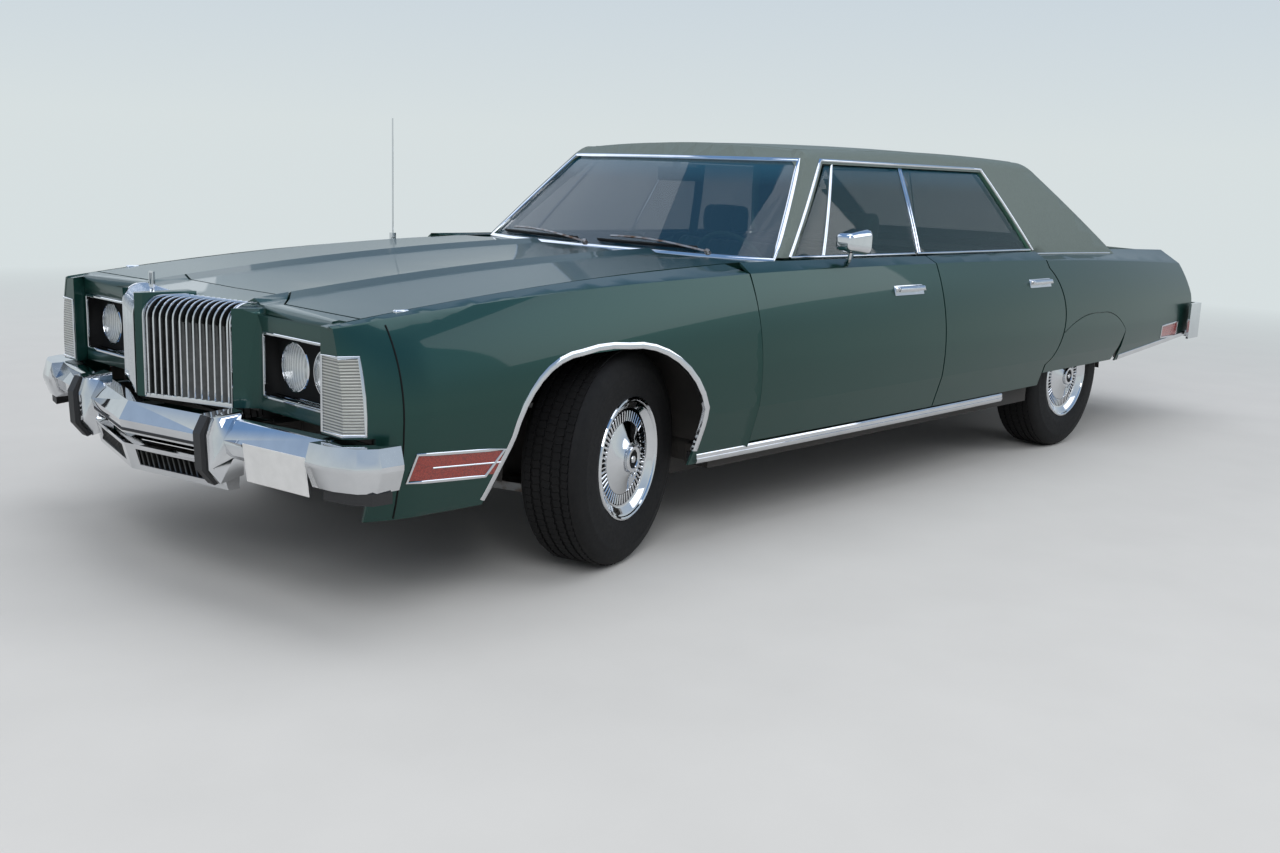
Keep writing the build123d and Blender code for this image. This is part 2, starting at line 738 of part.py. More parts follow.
front_pane = pane_outline(front_low, front_top, split_low, split_top, 22, 5,
                          front_low[0] - 34, DOOR_SPLIT_X + 40, 936)
rear_pane = pane_outline(split_low, split_top, back_low, back_top, 5, PILLAR_GAP,
                         DOOR_SPLIT_X - 134, back_low[0] + 40, 936)
glass_front = pane & prism(front_pane, 300, 1200)
glass_rear = pane & prism(rear_pane, 300, 1200)
save("glass_front_left", glass_front)
save("glass_front_right", mirrored(glass_front))
save("glass_rear_left", glass_rear)
save("glass_rear_right", mirrored(glass_rear))

front_door = door_shell(DOOR_FRONT_X, DOOR_SPLIT_X) + door_handle(DOOR_SPLIT_X, HANDLE_FRONT_Z)
rear_door = door_shell(DOOR_SPLIT_X, DOOR_REAR_X) + door_handle(DOOR_REAR_X - 30, HANDLE_REAR_Z)
for lug in door_lugs(DOOR_FRONT_X):
    front_door = front_door + lug
for lug in door_lugs(DOOR_SPLIT_X):
    rear_door = rear_door + lug
front_door = front_door - slot
rear_door = rear_door - slot
front_door = front_door.solids().sort_by(SortBy.VOLUME)[-1]
rear_door = rear_door.solids().sort_by(SortBy.VOLUME)[-1]
save("door_front_left", front_door)
save("door_front_right", mirrored(front_door))
save("door_rear_left", rear_door)
save("door_rear_right", mirrored(rear_door))


# Cowl between hood and windshield, closed at both ends
cowl_plan = [
    (HOOD_REAR_X - GAP, -HOOD_HALF),
    (HOOD_REAR_X - GAP, HOOD_HALF),
    (COWL_REAR_X - 40, COWL_HALF),
    (COWL_REAR_X - 40, -COWL_HALF),
]
cowl = plate(cowl_plan, BELT_Z - 30, BELT_Z - 12)
cowl_front = box(HOOD_REAR_X - GAP - 12, HOOD_REAR_X - GAP, -HOOD_HALF, HOOD_HALF, BELT_Z - 90, BELT_Z - 12)
cowl_base = box(HOOD_REAR_X - GAP - 90, HOOD_REAR_X - GAP, -HOOD_HALF, HOOD_HALF, BELT_Z - 100, BELT_Z - 86)
cowl_ridge = green_solid(PILLAR_T) & shield_drum(0) & box(-2000, 0, -797, 797, BELT_Z - 16, BELT_Z + 0.6)
cowl_ridge = cowl_ridge - shield_drum(ROOF_WALL)
save("cowl", cowl + cowl_front + cowl_base + cowl_ridge)

# Quarter panels, from the rear door back over the wheel
quarter = side_loft(QUARTER_STATIONS, quarter_tops, 0, PANEL_T)
TAIL_STATIONS = (-4100, -4340, QUARTER_END_X - 10)
tail_tops = [quarter_top(x) for x in TAIL_STATIONS]
quarter_fill = side_fill(TAIL_STATIONS, tail_tops, LID_HALF + GAP - 1)
SWEEP_LOW_Z = 395
SWEEP_END_Z = 470


def behind_door(shift):
    """Side view of everything behind the rear door's edge."""
    edge = rear_edge(shift, 1000, 200)
    lines = [*edge, Polyline(edge[2] @ 1, (-5000, 200), (-5000, 1000), edge[0] @ 0)]
    return Pos(0, 500, 0) * extrude(SIDE * make_face(lines), -700)


def skirt_mask(shrink, low):
    """Side view of the removable panel over the rear wheel."""
    start = (-2896, 594 - shrink)
    middle = (-3300, 664 - shrink)
    end = (-3625 + shrink, 556)
    lines = [
        Polyline((-2600, low), (-2600, start[1]), start),
        ThreePointArc(start, (-3090, 655 - shrink), middle),
        ThreePointArc(middle, (-3480, 640 - shrink), end),
        Polyline(end, (-3530 + shrink, low), (-2600, low)),
    ]
    return Pos(0, 500, 0) * extrude(SIDE * make_face(lines), -700)


quarter_mask = behind_door(GAP) & prism([
    (-2600, SWEEP_LOW_Z),
    (-3540, SWEEP_LOW_Z),
    (QUARTER_END_X + 30, SWEEP_END_Z),
    (QUARTER_END_X, SWEEP_END_Z),
    (QUARTER_END_X, 700),
    (QUARTER_TOP_X, 1000),
    (-2600, 1000),
], 500, 1200)
quarter_left = (quarter & quarter_mask) - skirt_mask(0, 200)
rear_tip = quarter_fill & prism([
    (QUARTER_END_X + 1, 500),
    (QUARTER_END_X + 1, 700),
    (QUARTER_TOP_X + 1, 1000),
    (QUARTER_TOP_X + 30, 1000),
    (QUARTER_END_X + 34, 700),
    (QUARTER_END_X + 34, 500),
], 600, 1200)
tail_hole = box(QUARTER_END_X - 20, QUARTER_END_X + 140, TAIL_IN_Y, TAIL_OUT_Y, TAIL_LOW_Z, TAIL_TOP_Z)
quarter_left = quarter_left + (rear_tip - tail_hole)
quarter_left = quarter_left.solids().sort_by(SortBy.VOLUME)[-1]
rear_marker_hole = prism([(-4370, 482), (-4362, 552), (-4136, 540), (-4146, 482)], 850, 1100)
quarter_left = quarter_left - rear_marker_hole
save("quarter_panels", both(quarter_left))
skirt = (quarter & skirt_mask(4, SKIRT_LOW_Z) & behind_door(GAP)).solids().sort_by(SortBy.VOLUME)[-1]
TAB_T = 5
tab_in = PANEL_T + 0.4
tab = side_loft(QUARTER_STATIONS, quarter_tops, tab_in, tab_in + TAB_T) & skirt_mask(-14, 500) & behind_door(30)
tab_root = side_loft(QUARTER_STATIONS, quarter_tops, PANEL_T - 1, tab_in + TAB_T) & skirt_mask(8, 500) & behind_door(30)
skirt = skirt + tab + tab_root
save("fender_skirts", both(skirt))

# Boot lid, crowned across, with a rear face that turns down
def lid_section(y, lift, t, front, rear, low):
    z = DECK_Z - 4
    face_x = rear + (LID_REAR_X - QUARTER_END_X) * -0.88
    points = [
        (front, z + lift),
        (rear, z - DECK_DROP + lift),
        (face_x, low),
        (face_x + t, low),
        (rear + t, z - DECK_DROP + lift - t),
        (front, z + lift - t),
    ]
    return Plane(origin=(0, y, 0), x_dir=(1, 0, 0), z_dir=(0, -1, 0)) * make_face(Polyline(*points, close=True))


LID_CROWN = 14
lid = loft([lid_section(y, lift, LID_T, LID_FRONT_X, LID_REAR_X, LID_FACE_LOW_Z)
            for y, lift in ((-LID_HALF, 0), (0, LID_CROWN), (LID_HALF, 0))])
save("boot_lid", lid)

# Rear deck, parcel shelf, tail panel and boot floor
deck = box(LID_FRONT_X + GAP, BACK_LOW_X - 30, -777, 777, BELT_Z - 14, BELT_Z)
deck = deck + box(LID_FRONT_X - 34, -3080, -700, 700, BELT_Z - 60, BELT_Z - 42)
deck = deck + box(LID_FRONT_X + GAP, LID_FRONT_X + GAP + 12, -700, 700, BELT_Z - 60, BELT_Z)
lid_low = Pos(0, 0, -0.5) * lid
for y in (-500, 500):
    stop = box(LID_FRONT_X - 30, LID_FRONT_X - 10, y - 20, y + 20, BELT_Z - 50, 1020)
    deck = deck + lower_part(stop, lid_low)
tail_panel = prism([
    (QUARTER_END_X + 6, LID_FACE_LOW_Z - GAP),
    (QUARTER_END_X + 6, SWEEP_END_Z),
    (QUARTER_END_X + 26, SWEEP_END_Z),
    (QUARTER_END_X + 26, LID_FACE_LOW_Z - GAP),
], -LID_HALF - 6, LID_HALF + 6)
boot_floor = box(QUARTER_END_X + 25, -3520, -640, 640, BOOT_FLOOR_Z + 0.4, BOOT_FLOOR_Z + 14)
boot_well = box(QUARTER_END_X + 25, QUARTER_END_X + 60, -LID_HALF, LID_HALF, BOOT_FLOOR_Z + 0.4, 680)
tail_panel = tail_panel + boot_floor + boot_well
for y in (-500, 500):
    stop = box(QUARTER_END_X + 40, QUARTER_END_X + 58, y - 20, y + 20, 670, 1020)
    tail_panel = tail_panel + lower_part(stop, lid_low)
save("rear_deck", deck)
save("tail_panel", tail_panel)

# Signal lamps: turn lamps at the nose, side markers, tail lamps
turn = box(NOSE_X - TURN_DEPTH + 0.5, NOSE_X - 1, TURN_Y + 0.5, W_MAX, TURN_LOW_Z + 0.5, TURN_TOP_Z - 0.5)
turn = side_fill(FENDER_STATIONS, fender_tops, TURN_Y - 6, 1) & turn
tail = quarter_fill & box(QUARTER_END_X, QUARTER_END_X + 138, TAIL_IN_Y + 0.5, TAIL_OUT_Y - 0.5,
                          TAIL_LOW_Z + 0.5, TAIL_TOP_Z - 0.5)
tail = tail & prism([
    (QUARTER_END_X + 2, 500),
    (QUARTER_END_X + 2, 700),
    (QUARTER_TOP_X + 2, 1000),
    (QUARTER_TOP_X + 30, 1000),
    (QUARTER_END_X + 34, 700),
    (QUARTER_END_X + 34, 500),
], 600, 1200)
front_band = side_loft(FENDER_STATIONS, fender_tops, 1, PANEL_T + 6)
front_marker = front_band & prism([(500.5, 392.5), (500.5, 463.5), (789.5, 483.5), (805.4, 412.5)], 900, 1100)
rear_band = side_loft(QUARTER_STATIONS, quarter_tops, 1, PANEL_T + 6)
rear_marker = rear_band & prism([(-4369.4, 482.5), (-4361.5, 551.4), (-4136.6, 539.4), (-4146.5, 482.5)], 850, 1100)
save("signal_lamps", both(turn), both(tail), both(front_marker), both(rear_marker))

# Front bumper: V-shaped centre, guards, outer bars and end caps
BUMPER_ROWS = (
    # distance to the left, face x
    (0, FRONT_END),
    (GUARD_Y, 1092),
    (CAP_IN_Y + 20, 1030),
)
BUMPER_FORM = ((-78, 533), (-30, 533), (0, BUMPER_CREASE_Z), (-10, 440), (-30, 424), (-78, 424))


def bumper_row(y, x, form):
    plane = Plane(origin=(0, y, 0), x_dir=(1, 0, 0), z_dir=(0, -1, 0))
    return plane * make_face(Polyline(*[(x + dx, z) for dx, z in form], close=True))


def bumper_bar(rows, form):
    bar = None
    for (y0, x0), (y1, x1) in zip(rows[:-1], rows[1:]):
        piece = loft([bumper_row(y0, x0, form), bumper_row(y1, x1, form)], ruled=True)
        bar = bar + piece if bar else piece
    return bar


CAP_LEVELS = (
    # height, how far the outline stands in
    (532, 14),
    (BUMPER_CREASE_Z + 4, 0),
    (BUMPER_CREASE_Z - 10, 0),
    (412, 22),
)


def cap_section(z, inset):
    """Plan outline of the bumper's end cap at one height."""
    points = [
        (1058 - inset, CAP_IN_Y),
        (1046 - inset, 890),
        (1008 - inset * 0.7, BUMPER_HALF - 32 - inset * 0.7),
        (950, BUMPER_HALF - inset),
        (880, BUMPER_HALF - inset),
        (880, BUMPER_HALF - 28 - inset * 0.6),
        (930, BUMPER_HALF - 32 - inset * 0.6),
        (950 - inset, CAP_IN_Y),
    ]
    return Pos(0, 0, z) * make_face(Polyline(*points, close=True))


cap = None
for level, (z, inset) in enumerate(CAP_LEVELS[1:]):
    part = loft([cap_section(*CAP_LEVELS[level]), cap_section(z, inset)], ruled=True)
    cap = cap + part if cap else part
guard = prism([
    (1092 - 66, 556),
    (1092 + 28, 548),
    (1092 + 44, 500),
    (1092 + 40, 400),
    (1092 + 6, 356),
    (1092 - 66, 372),
], GUARD_Y - GUARD_W / 2, GUARD_Y + GUARD_W / 2)
valance_row = bumper_bar(BUMPER_ROWS[:2], ((-70, 408), (-12, 408), (-34, 326), (-70, 326)))
front_half = bumper_bar(BUMPER_ROWS, BUMPER_FORM) + cap + guard + valance_row


def bumper_x(y):
    """Face of the centre bumper at a distance to the left."""
    (y0, x0), (y1, x1) = BUMPER_ROWS[:2]
    return x0 + (x1 - x0) * (y - y0) / (y1 - y0)


def valance_piece(y0, y1, form):
    return bumper_bar(((y0, bumper_x(y0)), (y1, bumper_x(y1))), form)


front_half = front_half - valance_piece(45, 368, ((-42, 394), (0, 394), (0, 344), (-42, 344)))
for i in range(VALANCE_SLATS):
    y = 45 + 323 * (i + 0.5) / VALANCE_SLATS
    front_half = front_half + valance_piece(y - 3, y + 3, ((-44, 396), (-22, 396), (-34, 342), (-44, 342)))
bracket = box(930, 1040, 380, 444, 440, 520)
front_bumper = front_half + mirrored(front_half) + bracket + mirrored(bracket)
save("front_bumper", front_bumper)

strip = prism([
    (1092 + 28.4, 548),
    (1092 + 34, 548),
    (1092 + 58, 502),
    (1092 + 54, 398),
    (1092 + 18, 352),
    (1092 + 6.4, 355.6),
    (1092 + 40.4, 400),
    (1092 + 44.4, 500),
], GUARD_Y - 20, GUARD_Y + 20)
pad = plate([(1030, 850), (1012, 930), (970, BUMPER_HALF - 15), (912, BUMPER_HALF - 10), (912, 900)], 380, 411.6)
save("front_bumper_pads", both(strip), both(pad))

# Rear bumper
REAR_FORM = ((78, 640), (26, 636), (0, 590), (0, 500), (20, 462), (78, 462))
rear_rows = (
    (0, REAR_END),
    (700, REAR_END + 16),
    (930, REAR_END + 36),
)
rear_bar = bumper_bar(rear_rows, REAR_FORM)
rear_cap = plate([
    (REAR_END + 50, 860),
    (REAR_END + 62, 950),
    (REAR_END + 90, BUMPER_HALF - 8),
    (REAR_END + 250, BUMPER_HALF - 2),
    (REAR_END + 250, BUMPER_HALF - 14),
    (REAR_END + 112, BUMPER_HALF - 34),
    (REAR_END + 112, 860),
], 458, 652)
rear_bracket = box(REAR_END + 60, QUARTER_END_X + 5.6, 400, 470, 500, 580)
rear_half = rear_bar + rear_cap + rear_bracket
save("rear_bumper", rear_half + mirrored(rear_half))

# Floor, sills, tunnel, firewall and hinge pillars
FIREWALL_X = -480
FLOOR_HALF = 800
FOOT_HALF = 700
SILL_OUT = 905
SILL_LOW_Z = 268
floor = box(-2460, FIREWALL_X - 14.5, -FOOT_HALF, FOOT_HALF, FLOOR_Z - FLOOR_T, FLOOR_Z)
ledge = box(-2740, FIREWALL_X - 14.5, FOOT_HALF - 12, FLOOR_HALF, SILL_LOW_Z, SILL_LOW_Z + 12)
ledge = ledge + box(-2460, FIREWALL_X - 14.5, FOOT_HALF - 12, FOOT_HALF, FLOOR_Z - FLOOR_T, SILL_LOW_Z + 12)
floor = floor + ledge + mirrored(ledge)
rear_step = box(-2460, -2448, -FOOT_HALF, FOOT_HALF, FLOOR_Z - FLOOR_T, SEAT_FLOOR_Z)
rear_step = rear_step + box(-2460, -2448, -FLOOR_HALF, FLOOR_HALF, SILL_LOW_Z, SEAT_FLOOR_Z)
rear_step = rear_step + box(-2740, -2448, -FLOOR_HALF, FLOOR_HALF, SEAT_FLOOR_Z - 12, SEAT_FLOOR_Z)
rear_step = rear_step + box(-2912, -2448, -640, 640, SEAT_FLOOR_Z - 12, SEAT_FLOOR_Z)
rear_step = rear_step + box(-2912, -2900, -640, 640, SEAT_FLOOR_Z - 12, BOOT_FLOOR_Z)
rear_shelf = box(-3560, -2900, -640, 640, BOOT_FLOOR_Z - 12, BOOT_FLOOR_Z)
sill = box(-2740, -450, FLOOR_HALF + 0.5, SILL_OUT, SILL_LOW_Z, SILL_TOP_Z)
tunnel_outer = box(-2905, FIREWALL_X - 14.5, -TUNNEL_HALF, TUNNEL_HALF, FLOOR_Z - FLOOR_T, TUNNEL_Z)
tunnel_inner = box(-2950, FIREWALL_X + 5, 15 - TUNNEL_HALF, TUNNEL_HALF - 15, 0, TUNNEL_Z - 15)
firewall = box(FIREWALL_X - 14, FIREWALL_X, -FLOOR_HALF, FLOOR_HALF, SILL_LOW_Z, 860)
firewall = firewall + box(FIREWALL_X - 14, FIREWALL_X, -FOOT_HALF, FOOT_HALF, FLOOR_Z - FLOOR_T, SILL_LOW_Z + 5)
toe = box(HOOD_REAR_X - GAP - 90, FIREWALL_X, -FLOOR_HALF, FLOOR_HALF, 848, BELT_Z - 100.5)
front_axis = hinge_axis(DOOR_FRONT_X)
rear_axis = hinge_axis(DOOR_SPLIT_X)
POST_OUT = 836
post_front = box(front_axis[0] - 40, front_axis[0] + 40, FLOOR_HALF + 0.5, POST_OUT, SILL_LOW_Z + 6, BELT_Z - 114)
post_rear = box(rear_axis[0] - 40, rear_axis[0] + 40, FLOOR_HALF + 0.5, POST_OUT, SILL_LOW_Z + 6, 848)
side_wall = box(HOOD_REAR_X - 60, FIREWALL_X - 2, FLOOR_HALF - 14, FLOOR_HALF, SILL_LOW_Z + 12.5, BELT_Z - 100.5)
left_side = sill + post_front + post_rear
for arm in hinge_arms(DOOR_FRONT_X, POST_OUT) + hinge_arms(DOOR_SPLIT_X, POST_OUT):
    left_side = left_side + arm
bulkhead = firewall + toe + side_wall + mirrored(side_wall) - tunnel_inner
fender_near = Pos(0, -0.5, 0) * fender_left
fender_arm = inner_part(box(-560, -520, FLOOR_HALF - 5, 1100, 600, 640), fender_near)
save("bulkhead", bulkhead + fender_arm + mirrored(fender_arm))
save("side_sills", both(left_side))
floor = floor + rear_step + rear_shelf + tunnel_outer - tunnel_inner
floor = floor + box(-1100, -1050, -TUNNEL_HALF, TUNNEL_HALF, FLOOR_Z - FLOOR_T, 227.5)
save("floor_pan", floor)

# Front rails, crossmember, aprons and radiator support
RAIL_IN = 330
RAIL_OUT = 410
rail = box(FIREWALL_X + 0.5, 929.5, RAIL_IN, RAIL_OUT, 400, 500)
apron = box(FIREWALL_X + 0.5, 820, RAIL_OUT - 1, RAIL_OUT + 7, 400, 780)
support = box(800, 816, -760, 760, 420, 800) - box(790, 830, -300, 300, 450, 760)
cross = box(-70, 70, -RAIL_IN - 4, RAIL_IN + 4, 200, 262) + both(box(-60, 60, RAIL_IN, RAIL_OUT, 200, 402))[0]
cross = cross + mirrored(box(-60, 60, RAIL_IN, RAIL_OUT, 200, 402))
engine_arm = box(-30, 30, 270.5, RAIL_IN + 1, 420, 480)
nose_arm = box(815, LAMP_X - 30.5, 345, 375, 580, 620)
tip_arm = inner_part(box(800, 816, 750, 1100, 690, 730), fender_near)
hood_stop = lower_part(box(800, 816, 540, 580, 790, 1000), Pos(0, 0, -0.5) * hood_block)
front_frame = rail + mirrored(rail) + apron + mirrored(apron) + support + cross
for item in (engine_arm, nose_arm, tip_arm, hood_stop):
    front_frame = front_frame + item + mirrored(item)
save("front_frame", front_frame)

# Front suspension arms and the knuckles that carry the front wheels
ARM_LOW_Z = 205
ARM_TOP_Z = 486
arm_plan = [(-110, RAIL_OUT + 0.4), (110, RAIL_OUT + 0.4), (22, KINGPIN_Y + 14), (-22, KINGPIN_Y + 14)]
arm_low = plate(arm_plan, ARM_LOW_Z - 14, ARM_LOW_Z + 14)
arm_top_plan = [(-80, RAIL_OUT + 7.4), (80, RAIL_OUT + 7.4), (16, KINGPIN_Y + 12), (-16, KINGPIN_Y + 12)]
arm_top = plate(arm_top_plan, ARM_TOP_Z - 8, ARM_TOP_Z + 8)
save("front_arms", both(arm_low), both(arm_top))

steer = Pos(0, KINGPIN_Y, 0) * Rot(0, 0, STEER_REST) * Pos(0, -KINGPIN_Y, 0)
steer_right = Pos(0, -KINGPIN_Y, 0) * Rot(0, 0, STEER_REST) * Pos(0, KINGPIN_Y, 0)
WHEEL_Y = TRACK_HALF
SPINDLE_END = WHEEL_Y + 19.5
upright_h = ARM_TOP_Z - ARM_LOW_Z - 23
upright = Pos(0, KINGPIN_Y, ARM_LOW_Z + 14.5 + upright_h / 2) * Cylinder(18, upright_h)
spindle = Pos(0, (KINGPIN_Y + SPINDLE_END) / 2, TYRE_R) * Rot(90, 0, 0) * Cylinder(30, SPINDLE_END - KINGPIN_Y)
disc = Pos(0, WHEEL_Y - 60, TYRE_R) * Rot(90, 0, 0) * Cylinder(138, 22)
knuckle = upright + spindle + disc
save("knuckle_left", steer * knuckle)
save("knuckle_right", steer_right * mirrored(knuckle))

# Wheels: tyre section and wheel section turned about the axle
TYRE_FORM = (
    # across, radius
    (-94, RIM_R + 0.4), (-TYRE_W / 2, 262), (-99, 334), (-74, TYRE_R),
    (74, TYRE_R), (99, 334), (TYRE_W / 2, 262), (94, RIM_R + 0.4),
)
WHEEL_FORM = (
    # across, radius
    (-92, 182), (-92, RIM_R), (98, RIM_R), (98, COVER_R), (104, COVER_R - 5), (102, 186), (84, 160),
    (90, 84), (110, 50), (110, 42), (120, 38), (120, 0), (20, 0), (20, 182),
)


def wheel_solid(form):
    face = Plane.XY * make_face(Polyline(*[(r, a) for a, r in form], close=True))
    return revolve(face, Axis.Y)


def faceted_ring(form, sides):
    """Ring of flat faces about the Y axis, from a closed section."""
    faces = []
    for i in range(sides):
        turns = (2 * pi * i / sides, 2 * pi * (i + 1) / sides)
        for (a0, r0), (a1, r1) in zip(form, form[1:] + form[:1]):
            start = [(r0 * sin(t), a0, r0 * cos(t)) for t in turns]
            end = [(r1 * sin(t), a1, r1 * cos(t)) for t in reversed(turns)]
            faces.append(make_face(Polyline(*start, *end, close=True)))
    return Solid(Shell(faces))


tyre = faceted_ring(TYRE_FORM, TYRE_SIDES)
wheel = wheel_solid(WHEEL_FORM)
for i in range(COVER_SLOTS):
    slot_box = Pos(0, 88, SLOT_R) * Box(SLOT_W, 20, SLOT_L)
    wheel = wheel - Rot(0, 360 * i / COVER_SLOTS, 0) * slot_box
wheel_place = Pos(0, WHEEL_Y, TYRE_R)
PLACES = (
    # name, place of the left-hand shape, mirrored
    ("front_left", steer * wheel_place, False),
    ("front_right", steer_right, True),
    ("rear_left", Pos(REAR_AXLE, WHEEL_Y, TYRE_R), False),
    ("rear_right", Pos(REAR_AXLE, 0, 0), True),
)
for place_name, place, flip in PLACES:
    for kind, shape in (("tyre", tyre), ("wheel", wheel)):
        placed = place * mirrored(wheel_place * shape) if flip else place * shape
        save(f"{kind}_{place_name}", placed)

# Rear axle, springs and driveshaft
axle_tube = Pos(REAR_AXLE, 0, TYRE_R) * Rot(90, 0, 0) * Cylinder(38, 2 * SPINDLE_END)
pumpkin = Pos(REAR_AXLE, 0, TYRE_R) * Rot(90, 0, 0) * Cylinder(84, 190)
nose_case = Pos(REAR_AXLE + 140, 0, TYRE_R) * Rot(0, 90, 0) * Cylinder(60, 120)
drum = Pos(REAR_AXLE, WHEEL_Y - 55, TYRE_R) * Rot(90, 0, 0) * Cylinder(142, 60)
save("rear_axle", axle_tube + pumpkin + nose_case + drum + mirrored(drum))
SPRING_Y = 545
spring_lines = [
    ThreePointArc((-2520, 318), (REAR_AXLE, 290), (-3950, 400)),
    Line((-3950, 400), (-3950, 382)),
    ThreePointArc((-3950, 382), (REAR_AXLE, 272), (-2520, 300)),
    Line((-2520, 300), (-2520, 318)),
]
spring = Pos(0, SPRING_Y - 30, 0) * extrude(SIDE * make_face(spring_lines), -60)
spring_seat = box(REAR_AXLE - 60, REAR_AXLE + 60, SPRING_Y - 30, SPRING_Y + 30, 280, 313.5)
hanger = box(-3956, -3930, SPRING_Y - 30, SPRING_Y + 30, 390, BOOT_FLOOR_Z - 0.4)
front_hanger = box(-2560, -2520, SPRING_Y - 30, SPRING_Y + 30, 302, SEAT_FLOOR_Z - 12.4)
save("rear_springs", both(spring + spring_seat + hanger + front_hanger))
shaft_start = -1161
shaft_end = REAR_AXLE + 200.4
shaft = Pos((shaft_start + shaft_end) / 2, 0, TYRE_R) * Rot(0, 90, 0) * Cylinder(32, shaft_start - shaft_end)
save("driveshaft", shaft)

# Engine with gearbox, one plain block at its real place
engine = box(-420, 290, -270, 270, 300, 790)
gearbox = Pos(-790, 0, 312) * Rot(0, 90, 0) * Cylinder(84, 741)
save("engine", engine + gearbox)

# Exhaust and fuel tank
muffler = box(-2440, -1900, 250, 430, 124, FLOOR_Z - FLOOR_T - 0.4)
front_pipe = Pos(-1200, 330, 170) * Rot(0, 90, 0) * Cylinder(28, 1420)
pipe_hanger = box(-900, -880, 322, 338, 180, FLOOR_Z - FLOOR_T - 0.4)
save("exhaust", muffler + front_pipe + pipe_hanger)
tank = box(-4420, -3700, -480, 300, 280, BOOT_FLOOR_Z)
save("fuel_tank", tank)

# Seats
SEAT_HALF = 687


def seat(profile, half, headrest_x):
    body = prism(profile, -half, half)
    if headrest_x:
        for y in (-370, 370):
            body = body + box(headrest_x - 55, headrest_x + 45, y - 130, y + 130, 985, 1130)
    return body


seat_tunnel = box(-3000, 0, -TUNNEL_HALF - 1, TUNNEL_HALF + 1, 0, TUNNEL_Z + 1)
front_seat = seat([
    (-1400, FLOOR_Z + 0.4), (-1380, 500), (-1430, 540), (-1850, 500), (-1960, 1000), (-2060, 1000),
    (-2010, 470), (-1960, FLOOR_Z + 0.4),
], SEAT_HALF, -2010)
rear_seat = seat([
    (-2450, SEAT_FLOOR_Z + 0.4), (-2400, 470), (-2440, 520), (-2800, 480), (-2950, 895), (-3060, 895),
    (-2990, BOOT_FLOOR_Z + 0.4), (-2899, BOOT_FLOOR_Z + 0.4), (-2899, SEAT_FLOOR_Z + 0.4),
], 630, None)
save("front_seat", front_seat - seat_tunnel)
save("rear_seat", rear_seat - seat_tunnel)

# Dashboard with steering column, and the steering wheel on it
dash = prism([
    (-850, 915), (-948, 915), (-958, 938), (-1010, 942), (-1070, 905), (-1080, 790), (-1010, 640),
    (-900, 640), (-850, 800),
], -770, 770)
COLUMN_Y = 375
COLUMN_TILT = 22
column_place = Pos(-1180, COLUMN_Y, 850) * Rot(0, COLUMN_TILT - 90, 0)
column = column_place * Pos(0, 0, -169.5) * Cylinder(30, 290)
dash_arm = box(-852, HOOD_REAR_X - GAP - 90.5, 300, 340, BELT_Z - 99, BELT_Z - 87)
save("dashboard", dash + column + dash_arm + mirrored(dash_arm))
ring_points = [(192 + 12 * cos(pi * i / 4), 0, 12 * sin(pi * i / 4)) for i in range(8)]
ring = column_place * revolve(make_face(Polyline(*ring_points, close=True)), Axis.Z)
spokes = column_place * Box(28, 380, 12)
hub = column_place * Pos(0, 0, -6) * Cylinder(44, 36)
save("steering_wheel", ring + spokes + hub)

# Antenna on the right front fender
mast = Pos(-400, -845, 1196) * Cylinder(3, 480)
foot = Pos(-400, -845, hood_edge_z(-400)) * Cylinder(14, 44)
foot = (foot - Pos(0, 0, 0.4) * mirrored(fender_left)).solids().sort_by(Axis.Z)[-1]
save("antenna", mast + foot)

# Door mirror on the left front door
mirror_plan = [(-1030, 905), (-1050, 965), (-1120, 1000), (-1210, 1002), (-1236, 985), (-1236, 900)]
mirror_head = plate(mirror_plan, 982, 1080)
mirror_head = fillet(mirror_head.edges(), 7)
mirror_stem = box(-1180, -1120, 896, 930, 930, 990)
mirror_stem = (mirror_stem - Pos(0, 0, 0.4) * front_door).solids().sort_by(Axis.Z)[-1]
save("door_mirror", mirror_head + mirror_stem)
print(len(saved), "pieces")
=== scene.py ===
import math

import bmesh
import bpy
from mathutils import Matrix, Vector
from mathutils.bvhtree import BVHTree


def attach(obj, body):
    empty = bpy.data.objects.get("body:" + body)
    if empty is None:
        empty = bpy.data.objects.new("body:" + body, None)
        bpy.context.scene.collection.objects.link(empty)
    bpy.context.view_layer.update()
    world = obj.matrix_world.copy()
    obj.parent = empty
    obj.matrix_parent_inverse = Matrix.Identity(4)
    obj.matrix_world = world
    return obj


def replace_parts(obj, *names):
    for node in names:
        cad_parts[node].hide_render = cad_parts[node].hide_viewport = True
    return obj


bl_info = {
    "name": "Full-size hardtop",
    "version": (1, 0, 0),
    "blender": (4, 5, 0),
    "location": "3D View > Sidebar > Car",
    "description": "Dresses the frame of a long four-door hardtop",
    "category": "Object",
}

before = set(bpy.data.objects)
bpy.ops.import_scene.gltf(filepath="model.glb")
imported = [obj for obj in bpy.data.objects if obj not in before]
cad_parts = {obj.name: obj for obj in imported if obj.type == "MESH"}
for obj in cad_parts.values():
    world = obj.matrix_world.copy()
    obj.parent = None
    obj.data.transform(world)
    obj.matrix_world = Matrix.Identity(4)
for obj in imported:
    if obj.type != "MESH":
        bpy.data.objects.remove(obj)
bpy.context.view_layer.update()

# All lengths are in metres. Places are measured from the front axle, which stands at AXLE_X.
AXLE_X = 1.7535
REAR_X = -3.147
TYRE_R = 0.352
WHEEL_Y = 0.806
KINGPIN_Y = 0.668
STEER_REST = math.radians(17)
LAMP_X = 0.89
LAMP_Y = (0.5, 0.668)
LAMP_Z = 0.676
SIDES = (("left", 1), ("right", -1))
AHEAD = Vector((1, 0, 0))

# Backdrop low down and overhead, and the light of the world
HORIZON = (0.68, 0.74, 0.75)
ZENITH = (0.20, 0.36, 0.64)
SOFT_LIGHT = (0.92, 0.95, 1.0)


